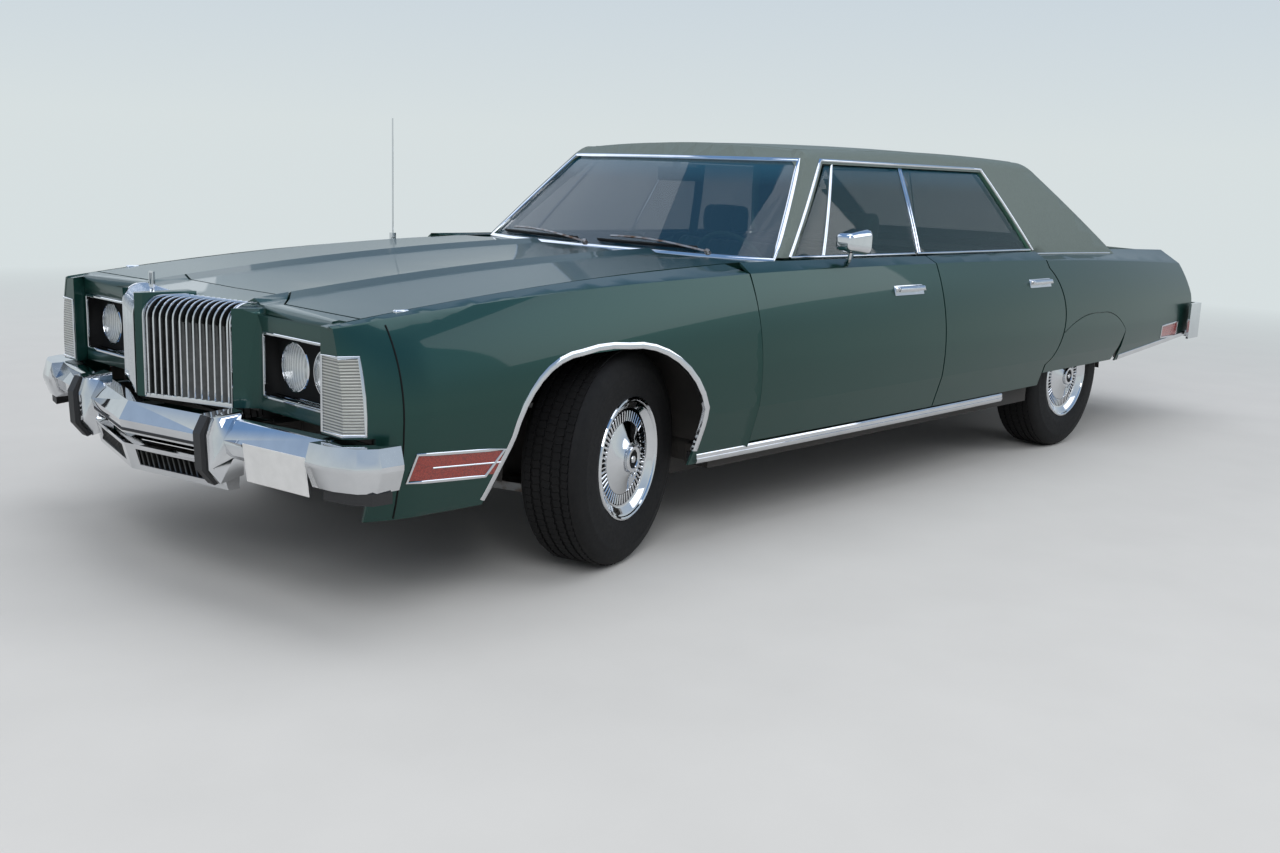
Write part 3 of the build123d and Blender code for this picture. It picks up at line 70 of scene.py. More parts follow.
class CarSizes(bpy.types.PropertyGroup):
    """Sizes of the dressing that can be changed."""

    moulding: bpy.props.FloatProperty(
        name="Rocker moulding", description="Height of the bright mouldings below the doors",
        default=0.035, unit="LENGTH")
    grille_bars: bpy.props.IntProperty(
        name="Grille bars", description="Bright bars in each half of the grille", default=13, min=5, max=20)
    cover_slots: bpy.props.IntProperty(
        name="Cover slots", description="Slots round a wheel cover", default=54, min=20, max=80)
    tread_blocks: bpy.props.IntProperty(
        name="Tread blocks", description="Blocks round a tyre", default=90, min=30, max=120)


class CarColours(bpy.types.PropertyGroup):
    """Colours that can be changed."""

    paint: bpy.props.FloatVectorProperty(
        name="Paint", description="Metallic enamel", subtype="COLOR", size=3,
        default=(0.008, 0.046, 0.038))
    roof: bpy.props.FloatVectorProperty(
        name="Roof", description="Grained roof covering", subtype="COLOR", size=3,
        default=(0.135, 0.172, 0.155))
    cloth: bpy.props.FloatVectorProperty(
        name="Cloth", description="Seat cloth and trim", subtype="COLOR", size=3,
        default=(0.045, 0.12, 0.085))


# Shader sums written as Python expressions
class Value:
    """A shader socket that takes part in arithmetic."""

    def __init__(self, graph, socket):
        self.graph = graph
        self.socket = socket

    def sum_with(self, operation, a, b):
        return self.graph.node("ShaderNodeMath", {"operation": operation}, {0: a, 1: b})

    def __add__(self, other):
        return self.sum_with("ADD", self, other)

    def __radd__(self, other):
        return self.sum_with("ADD", other, self)

    def __sub__(self, other):
        return self.sum_with("SUBTRACT", self, other)

    def __rsub__(self, other):
        return self.sum_with("SUBTRACT", other, self)

    def __mul__(self, other):
        return self.sum_with("MULTIPLY", self, other)

    def __rmul__(self, other):
        return self.sum_with("MULTIPLY", other, self)


class Graph:
    """A node tree under construction."""

    def __init__(self, owner):
        owner.use_nodes = True
        self.tree = owner.node_tree
        self.tree.nodes.clear()

    def node(self, kind, settings=None, inputs=None, out=0):
        """Adds a node: its settings and a ramp's stops first, then the values or links of its sockets."""
        made = self.tree.nodes.new(kind)
        for key, value in (settings or {}).items():
            if key == "stops":
                for element, (place, level) in zip(made.color_ramp.elements, value):
                    element.position = place
                    element.color = (*level, 1) if isinstance(level, tuple) else (level, level, level, 1)
            else:
                setattr(made, key, value)
        for key, value in (inputs or {}).items():
            self.join(value, made.inputs[key])
        return Value(self, made.outputs[out]) if made.outputs else made

    def join(self, value, socket):
        """Links a value to a socket, or sets the socket's own number or colour."""
        if isinstance(value, Value):
            self.tree.links.new(value.socket, socket)
        else:
            socket.default_value = (*value, 1) if socket.type == "RGBA" else value

    def ramp(self, value, *stops):
        return self.node("ShaderNodeValToRGB", {"stops": stops}, {0: value})

    def mix(self, factor, first, second):
        return self.node("ShaderNodeMix", {"data_type": "RGBA"}, {0: factor, 6: first, 7: second}, 2)

    def seen(self):
        """One for what the camera, a reflection or a pane shows, and nothing for light."""
        camera, gloss, pane = (self.node("ShaderNodeLightPath", out=f"Is {ray} Ray")
                               for ray in ("Camera", "Glossy", "Transmission"))
        return pane.sum_with("MAXIMUM", camera.sum_with("MAXIMUM", camera, gloss), pane)


class Finish(Graph):
    """A material under construction, round one Principled shader."""

    made = {}

    def __init__(self, name, **constants):
        self.material = Finish.made[name] = bpy.data.materials.new(name)
        super().__init__(self.material)
        self.face = self.node("ShaderNodeBsdfPrincipled")
        self.out = self.node("ShaderNodeOutputMaterial", None, {0: self.face})
        self.place = self.node("ShaderNodeTexCoord", out="Object")
        self.feed(**constants)

    def feed(self, **values):
        """Feeds the shader's sockets, which are named in small letters."""
        for name, value in values.items():
            socket = name.replace("_", " ").title().replace("Ior", "IOR")
            self.join(value, self.face.socket.node.inputs[socket])

    def noise(self, scale, detail=2.0):
        return self.node("ShaderNodeTexNoise", None, {"Vector": self.place, "Scale": scale, "Detail": detail})

    def cells(self, scale):
        return self.node("ShaderNodeTexVoronoi", None, {"Vector": self.place, "Scale": scale})

    def wave(self, direction, scale, **more):
        return self.node("ShaderNodeTexWave", {"bands_direction": direction},
                         {"Vector": self.place, "Scale": scale, **more})

    def bump(self, height, strength, distance):
        self.feed(normal=self.node("ShaderNodeBump", None,
                                   {"Height": height, "Strength": strength, "Distance": distance}))

    def grade(self, pattern, first, second, gain=None, least=None):
        """Runs from one colour to another with a pattern, and the roughness with it."""
        self.feed(base_color=self.mix(pattern, first, second))
        if gain is not None:
            self.feed(roughness=pattern * gain + least)


def tint(colour, share):
    return tuple(min(1.0, c * share) for c in colour)


def noisy_finishes(cloth):
    """Finishes whose colour, roughness and relief follow noise."""
    return (
        # name, the shader's own numbers, noise (scale, detail),
        # low and high colour, roughness (gain, least), relief (scale, detail, strength, height)
        # Dark metal, which on the grille's bars also stands for painted shade between the bright ribs
        ("dark_metal_and_painted_shade", {"metallic": 1}, (60, 4),
         (0.055, 0.056, 0.055), (0.12, 0.12, 0.118), (0.2, 0.28), None),
        ("mirror_silver", {"metallic": 1}, (30, 3),
         (0.78, 0.80, 0.80), (0.86, 0.88, 0.88), (0.03, 0.01), None),
        ("lamp_bowl", {"metallic": 1}, (50, 3),
         (0.72, 0.74, 0.76), (0.92, 0.94, 0.95), (0.15, 0.12), None),
        ("bumper_rubber", {"specular_ior_level": 0.4}, (380, 3),
         (0.012, 0.012, 0.013), (0.035, 0.035, 0.036), (0.2, 0.48), (380, 3, 0.3, 0.0006)),
        # Black for the lamp recesses, seams and cover slots, which in the grille and the air intake is
        # painted shade
        ("black_recess", {"specular_ior_level": 0.15}, (45, 4),
         (0.002, 0.002, 0.002), (0.008, 0.008, 0.008), (0.2, 0.6), None),
        ("chassis_black", {}, (7, 6),
         (0.012, 0.012, 0.012), (0.055, 0.048, 0.042), (0.25, 0.6), (120, 4, 0.3, 0.001)),
        ("cast_iron", {"metallic": 0.5}, (160, 5),
         (0.04, 0.06, 0.05), (0.10, 0.13, 0.11), (0.2, 0.6), (160, 5, 0.4, 0.001)),
        ("headliner_cloth", {"sheen_weight": 0.2}, (700, 3),
         tint(cloth, 1.5), tint(cloth, 1.8), (0.1, 0.85), (700, 3, 0.1, 0.0004)),
        ("cut_pile_carpet", {"sheen_weight": 0.3}, (900, 3),
         tint(cloth, 0.35), tint(cloth, 0.95), (0.1, 0.88), (900, 3, 0.6, 0.002)),
        ("blank_plate_white", {"coat_weight": 0.3}, (30, 4),
         (0.68, 0.68, 0.67), (0.84, 0.84, 0.83), (0.15, 0.3), None),
    )


def make_finishes(colours):
    """Every procedural material of the car."""
    paint, roof, cloth = tuple(colours.paint), tuple(colours.roof), tuple(colours.cloth)

    for name, constants, noise, low, high, rough, relief in noisy_finishes(cloth):
        finish = Finish(name, **constants)
        finish.grade(finish.noise(*noise), low, high, *rough)
        if relief:
            finish.bump(finish.noise(*relief[:2]), *relief[2:])

    enamel = Finish("green_enamel", metallic=0.55, coat_weight=0.45, coat_roughness=0.03,
                    specular_ior_level=0.3)
    flakes = enamel.ramp(enamel.cells(1600), (0.1, 0.0), (0.9, 1.0))
    enamel.grade(flakes * 0.5 + enamel.noise(1.3) * 0.3, tint(paint, 0.86), tint(paint, 1.28))
    enamel.feed(roughness=enamel.noise(900) * 0.12 + 0.27)
    enamel.bump(enamel.noise(420, 1), 0.03, 0.0004)

    vinyl = Finish("grained_vinyl", specular_ior_level=0.4)
    grain = vinyl.noise(520, 4) * 0.6 + vinyl.cells(380) * 0.4
    vinyl.grade(vinyl.ramp(grain, (0.3, 0.0), (0.75, 1.0)), tint(roof, 0.7), tint(roof, 1.15))
    vinyl.feed(roughness=vinyl.noise(60) * 0.14 + 0.52)
    vinyl.bump(grain, 0.5, 0.0008)

    chrome = Finish("bright_chrome", metallic=1)
    film = chrome.noise(14, 4)
    chrome.grade(film, (0.56, 0.575, 0.60), (0.74, 0.75, 0.765))
    chrome.feed(roughness=chrome.ramp(film, (0.35, 0.025), (0.8, 0.10)))

    for name, colour, alpha, shade in (
        # name, colour, how much it covers, and how much more in the band along its top
        ("side_glass", (0.010, 0.034, 0.034), 0.5, 0.0),
        ("shield_glass", (0.012, 0.050, 0.085), 0.46, 0.4),
    ):
        glass = Finish(name, roughness=0.015, ior=1.52, specular_ior_level=0.7)
        height = glass.node("ShaderNodeSeparateXYZ", None, {0: glass.place}, "Z")
        band = glass.ramp(height - 0.5, (0.72, 0.0), (0.84, 1.0))
        glass.grade(band, colour, (0.015, 0.10, 0.16))
        glass.feed(alpha=glass.noise(6, 4) * 0.04 + band * shade + alpha)
        glass.material.surface_render_method = "BLENDED"

    lamp = Finish("ribbed_lamp_glass", roughness=0.06, ior=1.5)
    ribs = lamp.wave("Y", 26.0)
    lamp.grade(ribs, (0.62, 0.66, 0.64), (0.85, 0.88, 0.88))
    lamp.feed(alpha=ribs * 0.25 + 0.3)
    lamp.bump(ribs, 0.6, 0.002)

    clear = Finish("fluted_clear_lens", roughness=0.1, ior=1.49, coat_weight=0.6)
    flutes = clear.wave("Z", 39.0)
    clear.grade(flutes, (0.13, 0.135, 0.12), (0.52, 0.53, 0.49))
    clear.bump(flutes, 0.8, 0.003)

    for name, dark, pale in (("red_lens", (0.20, 0.006, 0.004), (0.46, 0.016, 0.010)),
                             ("orange_lens", (0.20, 0.010, 0.004), (0.42, 0.028, 0.009))):
        lens = Finish(name, roughness=0.14, coat_weight=1)
        pips = lens.cells(240)
        lens.grade(lens.ramp(pips, (0.1, 0.0), (0.7, 1.0)), pale, dark)
        lens.bump(pips, 0.5, 0.001)

    tyre = Finish("tyre_rubber", specular_ior_level=0.25)
    tyre.grade(tyre.noise(28, 5), (0.0035, 0.0035, 0.004), (0.010, 0.0095, 0.0095))
    tyre.feed(roughness=tyre.noise(90) * 0.2 + 0.62)
    tyre.bump(tyre.noise(700, 3), 0.25, 0.0006)

    steel = Finish("worn_steel", metallic=0.85)
    rust = steel.ramp(steel.noise(22, 6), (0.45, 0.0), (0.7, 1.0))
    steel.grade(rust, (0.26, 0.26, 0.26), (0.13, 0.07, 0.04), 0.3, 0.42)

    fabric = Finish("seat_cloth", sheen_weight=0.35, sheen_roughness=0.5)
    weave = fabric.wave("Y", 160.0) * 0.5 + fabric.wave("DIAGONAL", 140.0) * 0.5
    fabric.grade(weave, tint(cloth, 0.7), tint(cloth, 1.9), 0.1, 0.8)
    fabric.bump(weave, 0.4, 0.0008)

    padding = Finish("padded_vinyl_trim")
    padding.grade(padding.noise(9, 3), tint(cloth, 0.8), tint(cloth, 1.5))
    padding.feed(roughness=padding.noise(50) * 0.15 + 0.5)
    padding.bump(padding.cells(260), 0.3, 0.0006)

    wood = Finish("dash_wood", coat_weight=0.5)
    rings = wood.wave("Z", 14.0, Distortion=6.0, Detail=3.0)
    wood.grade(rings, (0.06, 0.025, 0.010), (0.17, 0.08, 0.035), 0.15, 0.3)


# Lines of the body, as the solids have them
BODY_HALF, WIDEST_X, BODY_BOW = 1.004, -1.9, 126
CREASE_X, CREASE_Z, CREASE_IN = -1.75, 0.935, 0.073
BELLY_Z, SKIRT_Z, LOW_Z = 0.64, 0.477, 0.345
ROOF_MID_X, ROOF_FAR_R, ROOF_PEAK = -2.25, 22.0, 1.405
CABIN_FOOT_Z, CABIN_RISE, CABIN_HALF, CABIN_LEAN, CABIN_BOW = 0.88, 0.452, 0.872, 0.217, 0.036
SHIELD_R = 4.5
SHIELD_OUT = (0.6885, 0.7254)
HAIR = 0.0005


def at(x, y, z):
    """A place measured from the front axle."""
    return Vector((x + AXLE_X, y, z))


def spread(first, last, count):
    """Numbers at equal steps from the first to the last."""
    return [first + (last - first) * i / (count - 1) for i in range(count)]


def plan_half(x):
    """Half-width of the body at a distance from the front axle."""
    return BODY_HALF - (x - WIDEST_X) ** 2 / BODY_BOW


def crease(x):
    """Shoulder crease of the body: half-width and height."""
    drop = 0.110 * ((x - CREASE_X) / 2.73) ** 3 if x > CREASE_X else 0.064 * ((x - CREASE_X) / 2.66) ** 2
    return plan_half(x) - CREASE_IN - 0.042 * max(0, (x + 1) / 1.98) ** 2, CREASE_Z - drop


def cabin_half(x, z, inset=0.0):
    """Half-width of the cabin at a place of the side view."""
    low = ROOF_PEAK - ROOF_FAR_R
    share = (math.hypot(z - low, x - ROOF_MID_X) + low - CABIN_FOOT_Z) / CABIN_RISE
    return CABIN_HALF - inset - CABIN_LEAN * share + CABIN_BOW * share * (1 - share)


def cabin_place(x, z, inset=0.0, step=0.01):
    """Point and outward normal on the left side of the cabin."""
    y = cabin_half(x, z, inset)
    rise = (cabin_half(x, z + step, inset) - y) / step
    run = (cabin_half(x + step, z, inset) - y) / step
    return at(x, y, z), Vector((-run, 1, -rise)).normalized()


def shield_place(y, z, inset=0.0):
    """Point and outward normal on the curved windshield."""
    sag = SHIELD_R - math.sqrt(SHIELD_R ** 2 - y ** 2) + inset
    out = Vector((SHIELD_OUT[0], y / SHIELD_R, SHIELD_OUT[1])).normalized()
    return at(-0.79 - (z - 0.95) * 1.0537 - sag * 1.4529, y, z), out


def bumper_face(y):
    """Distance ahead of the axle at which the bumper's crease stands."""
    y = abs(y)
    return 1.18 - 0.088 * y / 0.412 if y < 0.412 else 1.092 - 0.062 * (y - 0.412) / 0.42


def side_half(x, z):
    """Half-width of the body side between its two creases, and just below them."""
    w = plan_half(x) - 0.075 * max(0, (x - 0.74) / 0.238) ** 2
    (cy, cz), ly = crease(x), w - 0.005
    if z > cz:
        return None
    if z < LOW_Z:
        return ly - 0.037 - 0.016 * (LOW_Z - z) / 0.045
    if z < SKIRT_Z:
        return ly - 0.037 * (SKIRT_Z - z) / 0.132
    # The arc runs through the upper crease, the widest point and the lower crease.
    (ay, az), (by, bz) = (cy - w, cz - BELLY_Z), (ly - w, SKIRT_Z - BELLY_Z)
    d = 2 * (ay * bz - az * by)
    a, b = ay * ay + az * az, by * by + bz * bz
    oy, oz = (a * bz - b * az) / d, (ay * b - by * a) / d
    return w + oy + math.sqrt(max(0, oy * oy + oz * oz - (z - BELLY_Z - oz) ** 2))


def side_normal(x, z, hand, step=0.004):
    """Outward normal of the body side's true curve."""
    z = max(min(z, crease(x)[1] - HAIR), SKIRT_Z + 0.002)
    run = (side_half(x + step, z) - side_half(x - step, z)) / (2 * step)
    rise = (side_half(x, z) - side_half(x, z - step / 4)) / (step / 4)
    return Vector((-run, hand, -rise)).normalized()


def arc3(a, b, c, steps=8):
    """Points along the arc through three points of the side view."""
    (ax, az), (bx, bz), (cx, cz) = a, b, c
    d = 2 * (ax * (bz - cz) + bx * (cz - az) + cx * (az - bz))
    squares = [x * x + z * z for x, z in (a, b, c)]
    ox = (squares[0] * (bz - cz) + squares[1] * (cz - az) + squares[2] * (az - bz)) / d
    oz = (squares[0] * (cx - bx) + squares[1] * (ax - cx) + squares[2] * (bx - ax)) / d
    turns = [math.atan2(z - oz, x - ox) for x, z in (a, b, c)]
    for i in (1, 2):
        turns[i] -= 2 * math.pi * round((turns[i] - turns[i - 1]) / (2 * math.pi))
    r = math.hypot(ax - ox, az - oz)
    return [(ox + r * math.cos(t), oz + r * math.sin(t)) for t in spread(turns[0], turns[2], steps + 1)]


# Mesh tools
def put(name, mesh, finishes, angle=32.0, body="body"):
    """A finished piece, smooth below an edge angle, riding on a body."""
    piece = bpy.data.objects.new(name, mesh)
    bpy.context.scene.collection.objects.link(piece)
    for finish in [finishes] if isinstance(finishes, str) else finishes:
        mesh.materials.append(Finish.made[finish])
    mesh.shade_smooth()
    mesh.set_sharp_from_angle(angle=math.radians(angle))
    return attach(piece, body)


def mesh_of(shape, name):
    """A mesh from a shape, merged and with its faces turned outwards."""
    bmesh.ops.remove_doubles(shape, verts=shape.verts, dist=1e-5)
    bmesh.ops.recalc_face_normals(shape, faces=shape.faces)
    mesh = bpy.data.meshes.new(name)
    shape.to_mesh(mesh)
    shape.free()
    return mesh


def from_bmesh(name, shape, finishes, angle=32.0, body="body"):
    return put(name, mesh_of(shape, name), finishes, angle, body)


def both_sides(name, shape, finishes, angle=32.0):
    """A piece of the body whose right-hand half mirrors the given left-hand half."""
    made = bmesh.ops.duplicate(shape, geom=all_of(shape))
    bmesh.ops.scale(shape, vec=(1, -1, 1), verts=only(made, bmesh.types.BMVert))
    bmesh.ops.reverse_faces(shape, faces=only(made, bmesh.types.BMFace))
    return from_bmesh(name, shape, finishes, angle)


def all_of(shape):
    return [*shape.verts, *shape.edges, *shape.faces]


def only(made, kind):
    return [item for item in made["geom"] if isinstance(item, kind)]


def settle(piece):
    """Applies the modifiers of a piece."""
    graph = bpy.context.evaluated_depsgraph_get()
    mesh = bpy.data.meshes.new_from_object(piece.evaluated_get(graph))
    piece.modifiers.clear()
    piece.data = mesh


# Part of the front fenders whose solids stray from their true curve between the sections
FENDER_REAR, FENDER_FRONT = -0.609, 0.92
NEAR_BY = ((0, 0), (0, 0.003), (0, -0.003), (0.003, 0), (-0.003, 0), (0.004, 0.004), (-0.004, 0.004),
           (0.006, -0.006), (-0.006, -0.006), (0, 0.009), (0.009, 0), (-0.009, 0))


class Skin:
    """Finds the surface of CAD nodes from outside."""

    def __init__(self, *nodes):
        shape = bmesh.new()
        for node in nodes:
            shape.from_mesh(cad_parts[node].data)
        self.tree = BVHTree.FromBMesh(shape)
        shape.free()

    def hit(self, origin, direction):
        place, normal = self.tree.ray_cast(origin, Vector(direction))[:2]
        return None if place is None else (place, normal)

    def beside(self, x, z, side=1):
        """Point and normal on the body side at a place given from the front axle."""
        found = self.hit(at(x, side * 1.6, z), (0, -side, 0))
        if found and FENDER_REAR < x < FENDER_FRONT and z < crease(x)[1]:
            return at(x, side * side_half(x, z), z), side_normal(x, z, side)
        return found

    def stray(self, x, z):
        """How far the solid's side stands out from its true curve at a place, or near it at an edge."""
        for run, rise in NEAR_BY:
            found = self.hit(at(x + run, 1.6, z + rise), (0, -1, 0))
            if found and abs(found[0].y - side_half(x + run, z + rise)) < 0.06:
                return found[0].y - side_half(x + run, z + rise)
        return 0.0

    def above(self, x, y):
        return self.hit(at(x, y, 2.2), (0, 0, -1))


def true_up(mesh):
    """Moves the front fenders' sides to their true curve, which the solid leaves between sections."""
    skin = Skin("front_fenders", "signal_lamps")
    for corner in mesh.vertices:
        x, z = corner.co.x - AXLE_X, corner.co.z
        if FENDER_REAR < x < FENDER_FRONT and abs(corner.co.y) > 0.88 and z < crease(x)[1] + 0.001:
            hand = math.copysign(1, corner.co.y)
            corner.co.y -= hand * skin.stray(x, min(z, crease(x)[1] - 0.001))


def draw_in(mesh):
    """Keeps what reaches out to the front fenders behind their skins."""
    for corner in mesh.vertices:
        if abs(corner.co.y) > 0.85:
            limit = side_half(corner.co.x - AXLE_X, corner.co.z) - 0.0085
            corner.co.y = math.copysign(min(abs(corner.co.y), limit), corner.co.y)


def tuck_in(mesh):
    """Sets the rubber blocks of the bumper ends a little behind the chrome above them."""
    for corner in mesh.vertices:
        if abs(corner.co.y) > 0.6:
            corner.co.x -= 0.007
            corner.co.y -= math.copysign(0.007, corner.co.y)


FITTINGS = {
    # node: how its copy is fitted
    "front_fenders": true_up,
    "signal_lamps": true_up,
    "bulkhead": draw_in,
    "front_bumper_pads": tuck_in,
}


def lay_normals(piece):
    """Gives faces that lie on the body side the normals of its true curve."""
    mesh = piece.data
    normals = [n.vector.copy() for n in mesh.corner_normals]
    for face in mesh.polygons:
        hand = 1 if face.center.y > 0 else -1
        spots = [mesh.vertices[corner].co - at(0, 0, 0) for corner in face.vertices]
        if face.normal.y * hand < 0.8 or min(spot.z for spot in spots) < SKIRT_Z - 0.002:
            continue
        strays = [abs(abs(spot.y) - side_half(spot.x, min(spot.z, crease(spot.x)[1] - HAIR)))
                  for spot in spots]
        if max(strays) < 0.0045:
            for loop, spot in zip(face.loop_indices, spots):
                normals[loop] = side_normal(spot.x, spot.z, hand)
    mesh.normals_split_custom_set(normals)


def clean_copy(node, name, finishes, angle=28.0, pick=None, body="body"):
    """A merged, smoothed copy of a CAD solid that stands for it; pick gives each face's finish."""
    shape = bmesh.new()
    shape.from_mesh(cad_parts[node].data)
    bmesh.ops.remove_doubles(shape, verts=shape.verts, dist=1e-5)
    bmesh.ops.dissolve_degenerate(shape, edges=shape.edges, dist=1e-6)
    mesh = bpy.data.meshes.new(name)
    shape.to_mesh(mesh)
    shape.free()
    mesh.materials.clear()
    if node in FITTINGS:
        FITTINGS[node](mesh)
    if pick:
        for face in mesh.polygons:
            face.material_index = pick([mesh.vertices[v].co - at(0, 0, 0) for v in face.vertices])
    piece = put(name, mesh, finishes, angle, body)
    piece.modifiers.new("evener", "WEIGHTED_NORMAL").keep_sharp = True
    settle(piece)
    lay_normals(piece)
    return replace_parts(piece, node)


def middle_of(corners):
    return sum(corners, Vector()) / len(corners)


def facing(corners):
    """Normal of a face, from its first three corners."""
    return (corners[1] - corners[0]).cross(corners[2] - corners[0]).normalized()


def within(corners, low, high):
    """Whether every corner lies in a box that is given for the left-hand side."""
    return all(low[0] <= c.x <= high[0] and low[1] <= abs(c.y) <= high[1] and low[2] <= c.z <= high[2]
               for c in corners)


def sweep(shape, section, places, closed=False):
    """Pushes a section of (across, out) along a row of places."""
    if closed:
        places = [*places, places[0]]
    first = face = shape.faces.new([shape.verts.new(places[0] @ Vector((u, v, 0))) for u, v in section])
    for before, place in zip(places[:-1], places[1:]):
        made = bmesh.ops.extrude_face_region(shape, geom=[face], use_keep_orig=True)
        bmesh.ops.transform(shape, matrix=place @ before.inverted(), verts=only(made, bmesh.types.BMVert))
        if face is not first:
            bmesh.ops.delete(shape, geom=[face], context="FACES_ONLY")
        face = only(made, bmesh.types.BMFace)[0]
    if closed:
        bmesh.ops.delete(shape, geom=[first, face], context="FACES_ONLY")


def trim(shape, section, spots, closed=False):
    """Moulding through (point, normal) pairs: its section's second number is how far it stands out."""
    points, normals = zip(*spots)
    places = []
    last = len(points) - 1
    for index, (point, normal) in enumerate(spots):
        ahead, behind = (index + 1) % len(points), index - 1
        if not closed:
            ahead, behind = min(index + 1, last), max(index - 1, 0)
        along = (points[ahead] - points[behind]).normalized()
        out = (normal - along * normal.dot(along)).normalized()
        turn = Matrix((out.cross(along), out, along)).transposed().to_4x4()
        places.append(Matrix.Translation(point) @ turn)
    sweep(shape, section, places, closed)


def half_round(width, height, steps=4):
    """Section of a bright moulding, flat below and domed above."""
    dome = [(width / 2 * math.cos(turn), height * math.sin(turn)) for turn in spread(0, math.pi, steps + 1)]
    return [(width / 2, -0.003), *dome, (-width / 2, -0.003)]


def strip(width, height, lip=0.0015):
    """Section of a flat strip with small chamfers."""
    w = width / 2
    return [(w, -0.003), (w, height - lip), (w - lip, height),
            (lip - w, height), (-w, height - lip), (-w, -0.003)]


def window_edge(foot):
    """Section of a window surround, with the depth of its outer foot."""
    return [(0.010, foot), (0.010, 0.001), (0.006, 0.004), (-0.006, 0.004), (-0.010, 0.001)]


def bent(points, step):
    """Points of a path, with more between those that stand far apart."""
    result = [points[0]]
    for a, b in zip(points[:-1], points[1:]):
        count = max(1, int((b - a).length / step))
        result += [a.lerp(b, (i + 1) / count) for i in range(count)]
    return result


def side_spots(skin, line, step=0.05, closed=False):
    """Points and normals on the left body side under a side-view line of (x, z)."""
    corners = [Vector((x, 0, z)) for x, z in line]
    path = bent(corners + corners[:1] if closed else corners, step)
    found = [skin.beside(spot.x, spot.z) for spot in (path[:-1] if closed else path)]
    return [spot for spot in found if spot]


def other_side(spots):
    """The same (point, normal) pairs on the right-hand side."""
    return [(Vector((p.x, -p.y, p.z)), Vector((n.x, -n.y, n.z))) for p, n in spots]


def lathe(shape, profile, place=Matrix.Identity(4), steps=48):
    """Turns a profile of (along, radius) about the X axis of a place."""
    corners = [shape.verts.new(place @ Vector((a, 0, r))) for a, r in profile]
    edges = [shape.edges.new(pair) for pair in zip(corners[:-1], corners[1:])]
    axis = (place.to_3x3() @ AHEAD).normalized()
    bmesh.ops.spin(shape, geom=corners + edges, cent=place.translation, axis=axis,
                   angle=2 * math.pi, steps=steps, use_merge=True)


def repeat_round(shape, count):
    """Copies a shape all round the X axis."""
    bmesh.ops.spin(shape, geom=all_of(shape), cent=(0, 0, 0), axis=AHEAD, angle=2 * math.pi, steps=count,
                   use_duplicate=True)


def block(shape, low, high, bevel, segments=2):
    """A box between two corners with rounded edges."""
    corners = bmesh.ops.create_cube(shape, size=1.0)["verts"]
    bmesh.ops.scale(shape, vec=high - low, verts=corners)
    bmesh.ops.translate(shape, vec=(low + high) / 2, verts=corners)
    edges = list({edge for corner in corners for edge in corner.link_edges})
    bmesh.ops.bevel(shape, geom=edges, offset=bevel, affect="EDGES", segments=segments, profile=0.5,
                    material=-1)


def drawn_out(shape, outline, run):
    """A solid made by pushing a flat outline along a run."""
    face = shape.faces.new([shape.verts.new(corner) for corner in outline])
    made = bmesh.ops.extrude_face_region(shape, geom=[face], use_keep_orig=True)
    bmesh.ops.translate(shape, vec=run, verts=only(made, bmesh.types.BMVert))


class PieceOperator:
    """What every operator here shares."""

    bl_options = {"REGISTER", "UNDO"}

    def execute(self, context):
        self.build(context.scene.car_sizes, context.scene.car_colours)
        return {"FINISHED"}


class CAR_OT_finishes(PieceOperator, bpy.types.Operator):
    """Makes the materials"""

    bl_idname = "car.finishes"
    bl_label = "Finishes"

    def build(self, sizes, colours):
        make_finishes(colours)


PAINTED = (
    # node, name of the piece, body
    ("front_fenders", "front_fender_skins", "body"),
    ("hood", "hood_skin", "hood_body"),
    ("cowl", "cowl_skin", "body"),
    ("quarter_panels", "quarter_panel_skins", "body"),
    ("fender_skirts", "fender_skirt_skins", "body"),
    ("boot_lid", "boot_lid_skin", "boot_body"),
    ("rear_deck", "rear_deck_skin", "body"),
    ("tail_panel", "tail_panel_skin", "body"),
)
CARRIED = {
    # finish: the solids that are shown as they are
    "chassis_black": ("floor_pan", "side_sills", "front_frame", "fuel_tank"),
    "worn_steel": ("front_arms", "knuckle_left", "knuckle_right", "rear_axle", "rear_springs", "driveshaft",
                   "exhaust"),
    "cast_iron": ("engine",),
    "bright_chrome": ("antenna",),
    "padded_vinyl_trim": ("dashboard",),
}
CABIN_MIDDLE = Vector((-2.3, 0, 0.9))


class CAR_OT_panels(PieceOperator, bpy.types.Operator):
    """Lays the enamel on the body panels and a finish on every carried-over solid"""

    bl_idname = "car.panels"
    bl_label = "Painted panels"

    def build(self, sizes, colours):
        for node, name, body in PAINTED:
            clean_copy(node, name, "green_enamel", body=body)
        clean_copy("bulkhead", "bulkhead_panels", "chassis_black")

        def pick(corners):
            """The covering outside and the headliner where a face looks into the cabin."""
            return 1 if facing(corners).dot(corners[0] - CABIN_MIDDLE) < 0 else 0

        clean_copy("roof", "vinyl_roof_skin", ("grained_vinyl", "headliner_cloth"), 35, pick)
        for finish, nodes in CARRIED.items():
            for node in nodes:
                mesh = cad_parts[node].data
                mesh.materials.clear()
                mesh.materials.append(Finish.made[finish])


WHEEL_HOUSES = (
    # distance of the wheel, inner and outer wall, radius
    (0.0, 0.47, 0.89, 0.455),
    (REAR_X, 0.67, 0.88, 0.43),
)
BOOT_BOARDS = (
    # distance from the middle, outline: the boot's side, and the flange behind the skirt's gap
    (0.778, ((-4.55, 0.46), (-4.55, 0.70), (-4.50, 0.84), (-4.40, 0.90), (-3.60, 0.905), (-3.60, 0.46))),
    (0.955, ((-3.71, 0.425), (-3.70, 0.60), (-3.56, 0.60), (-3.56, 0.415))),
)


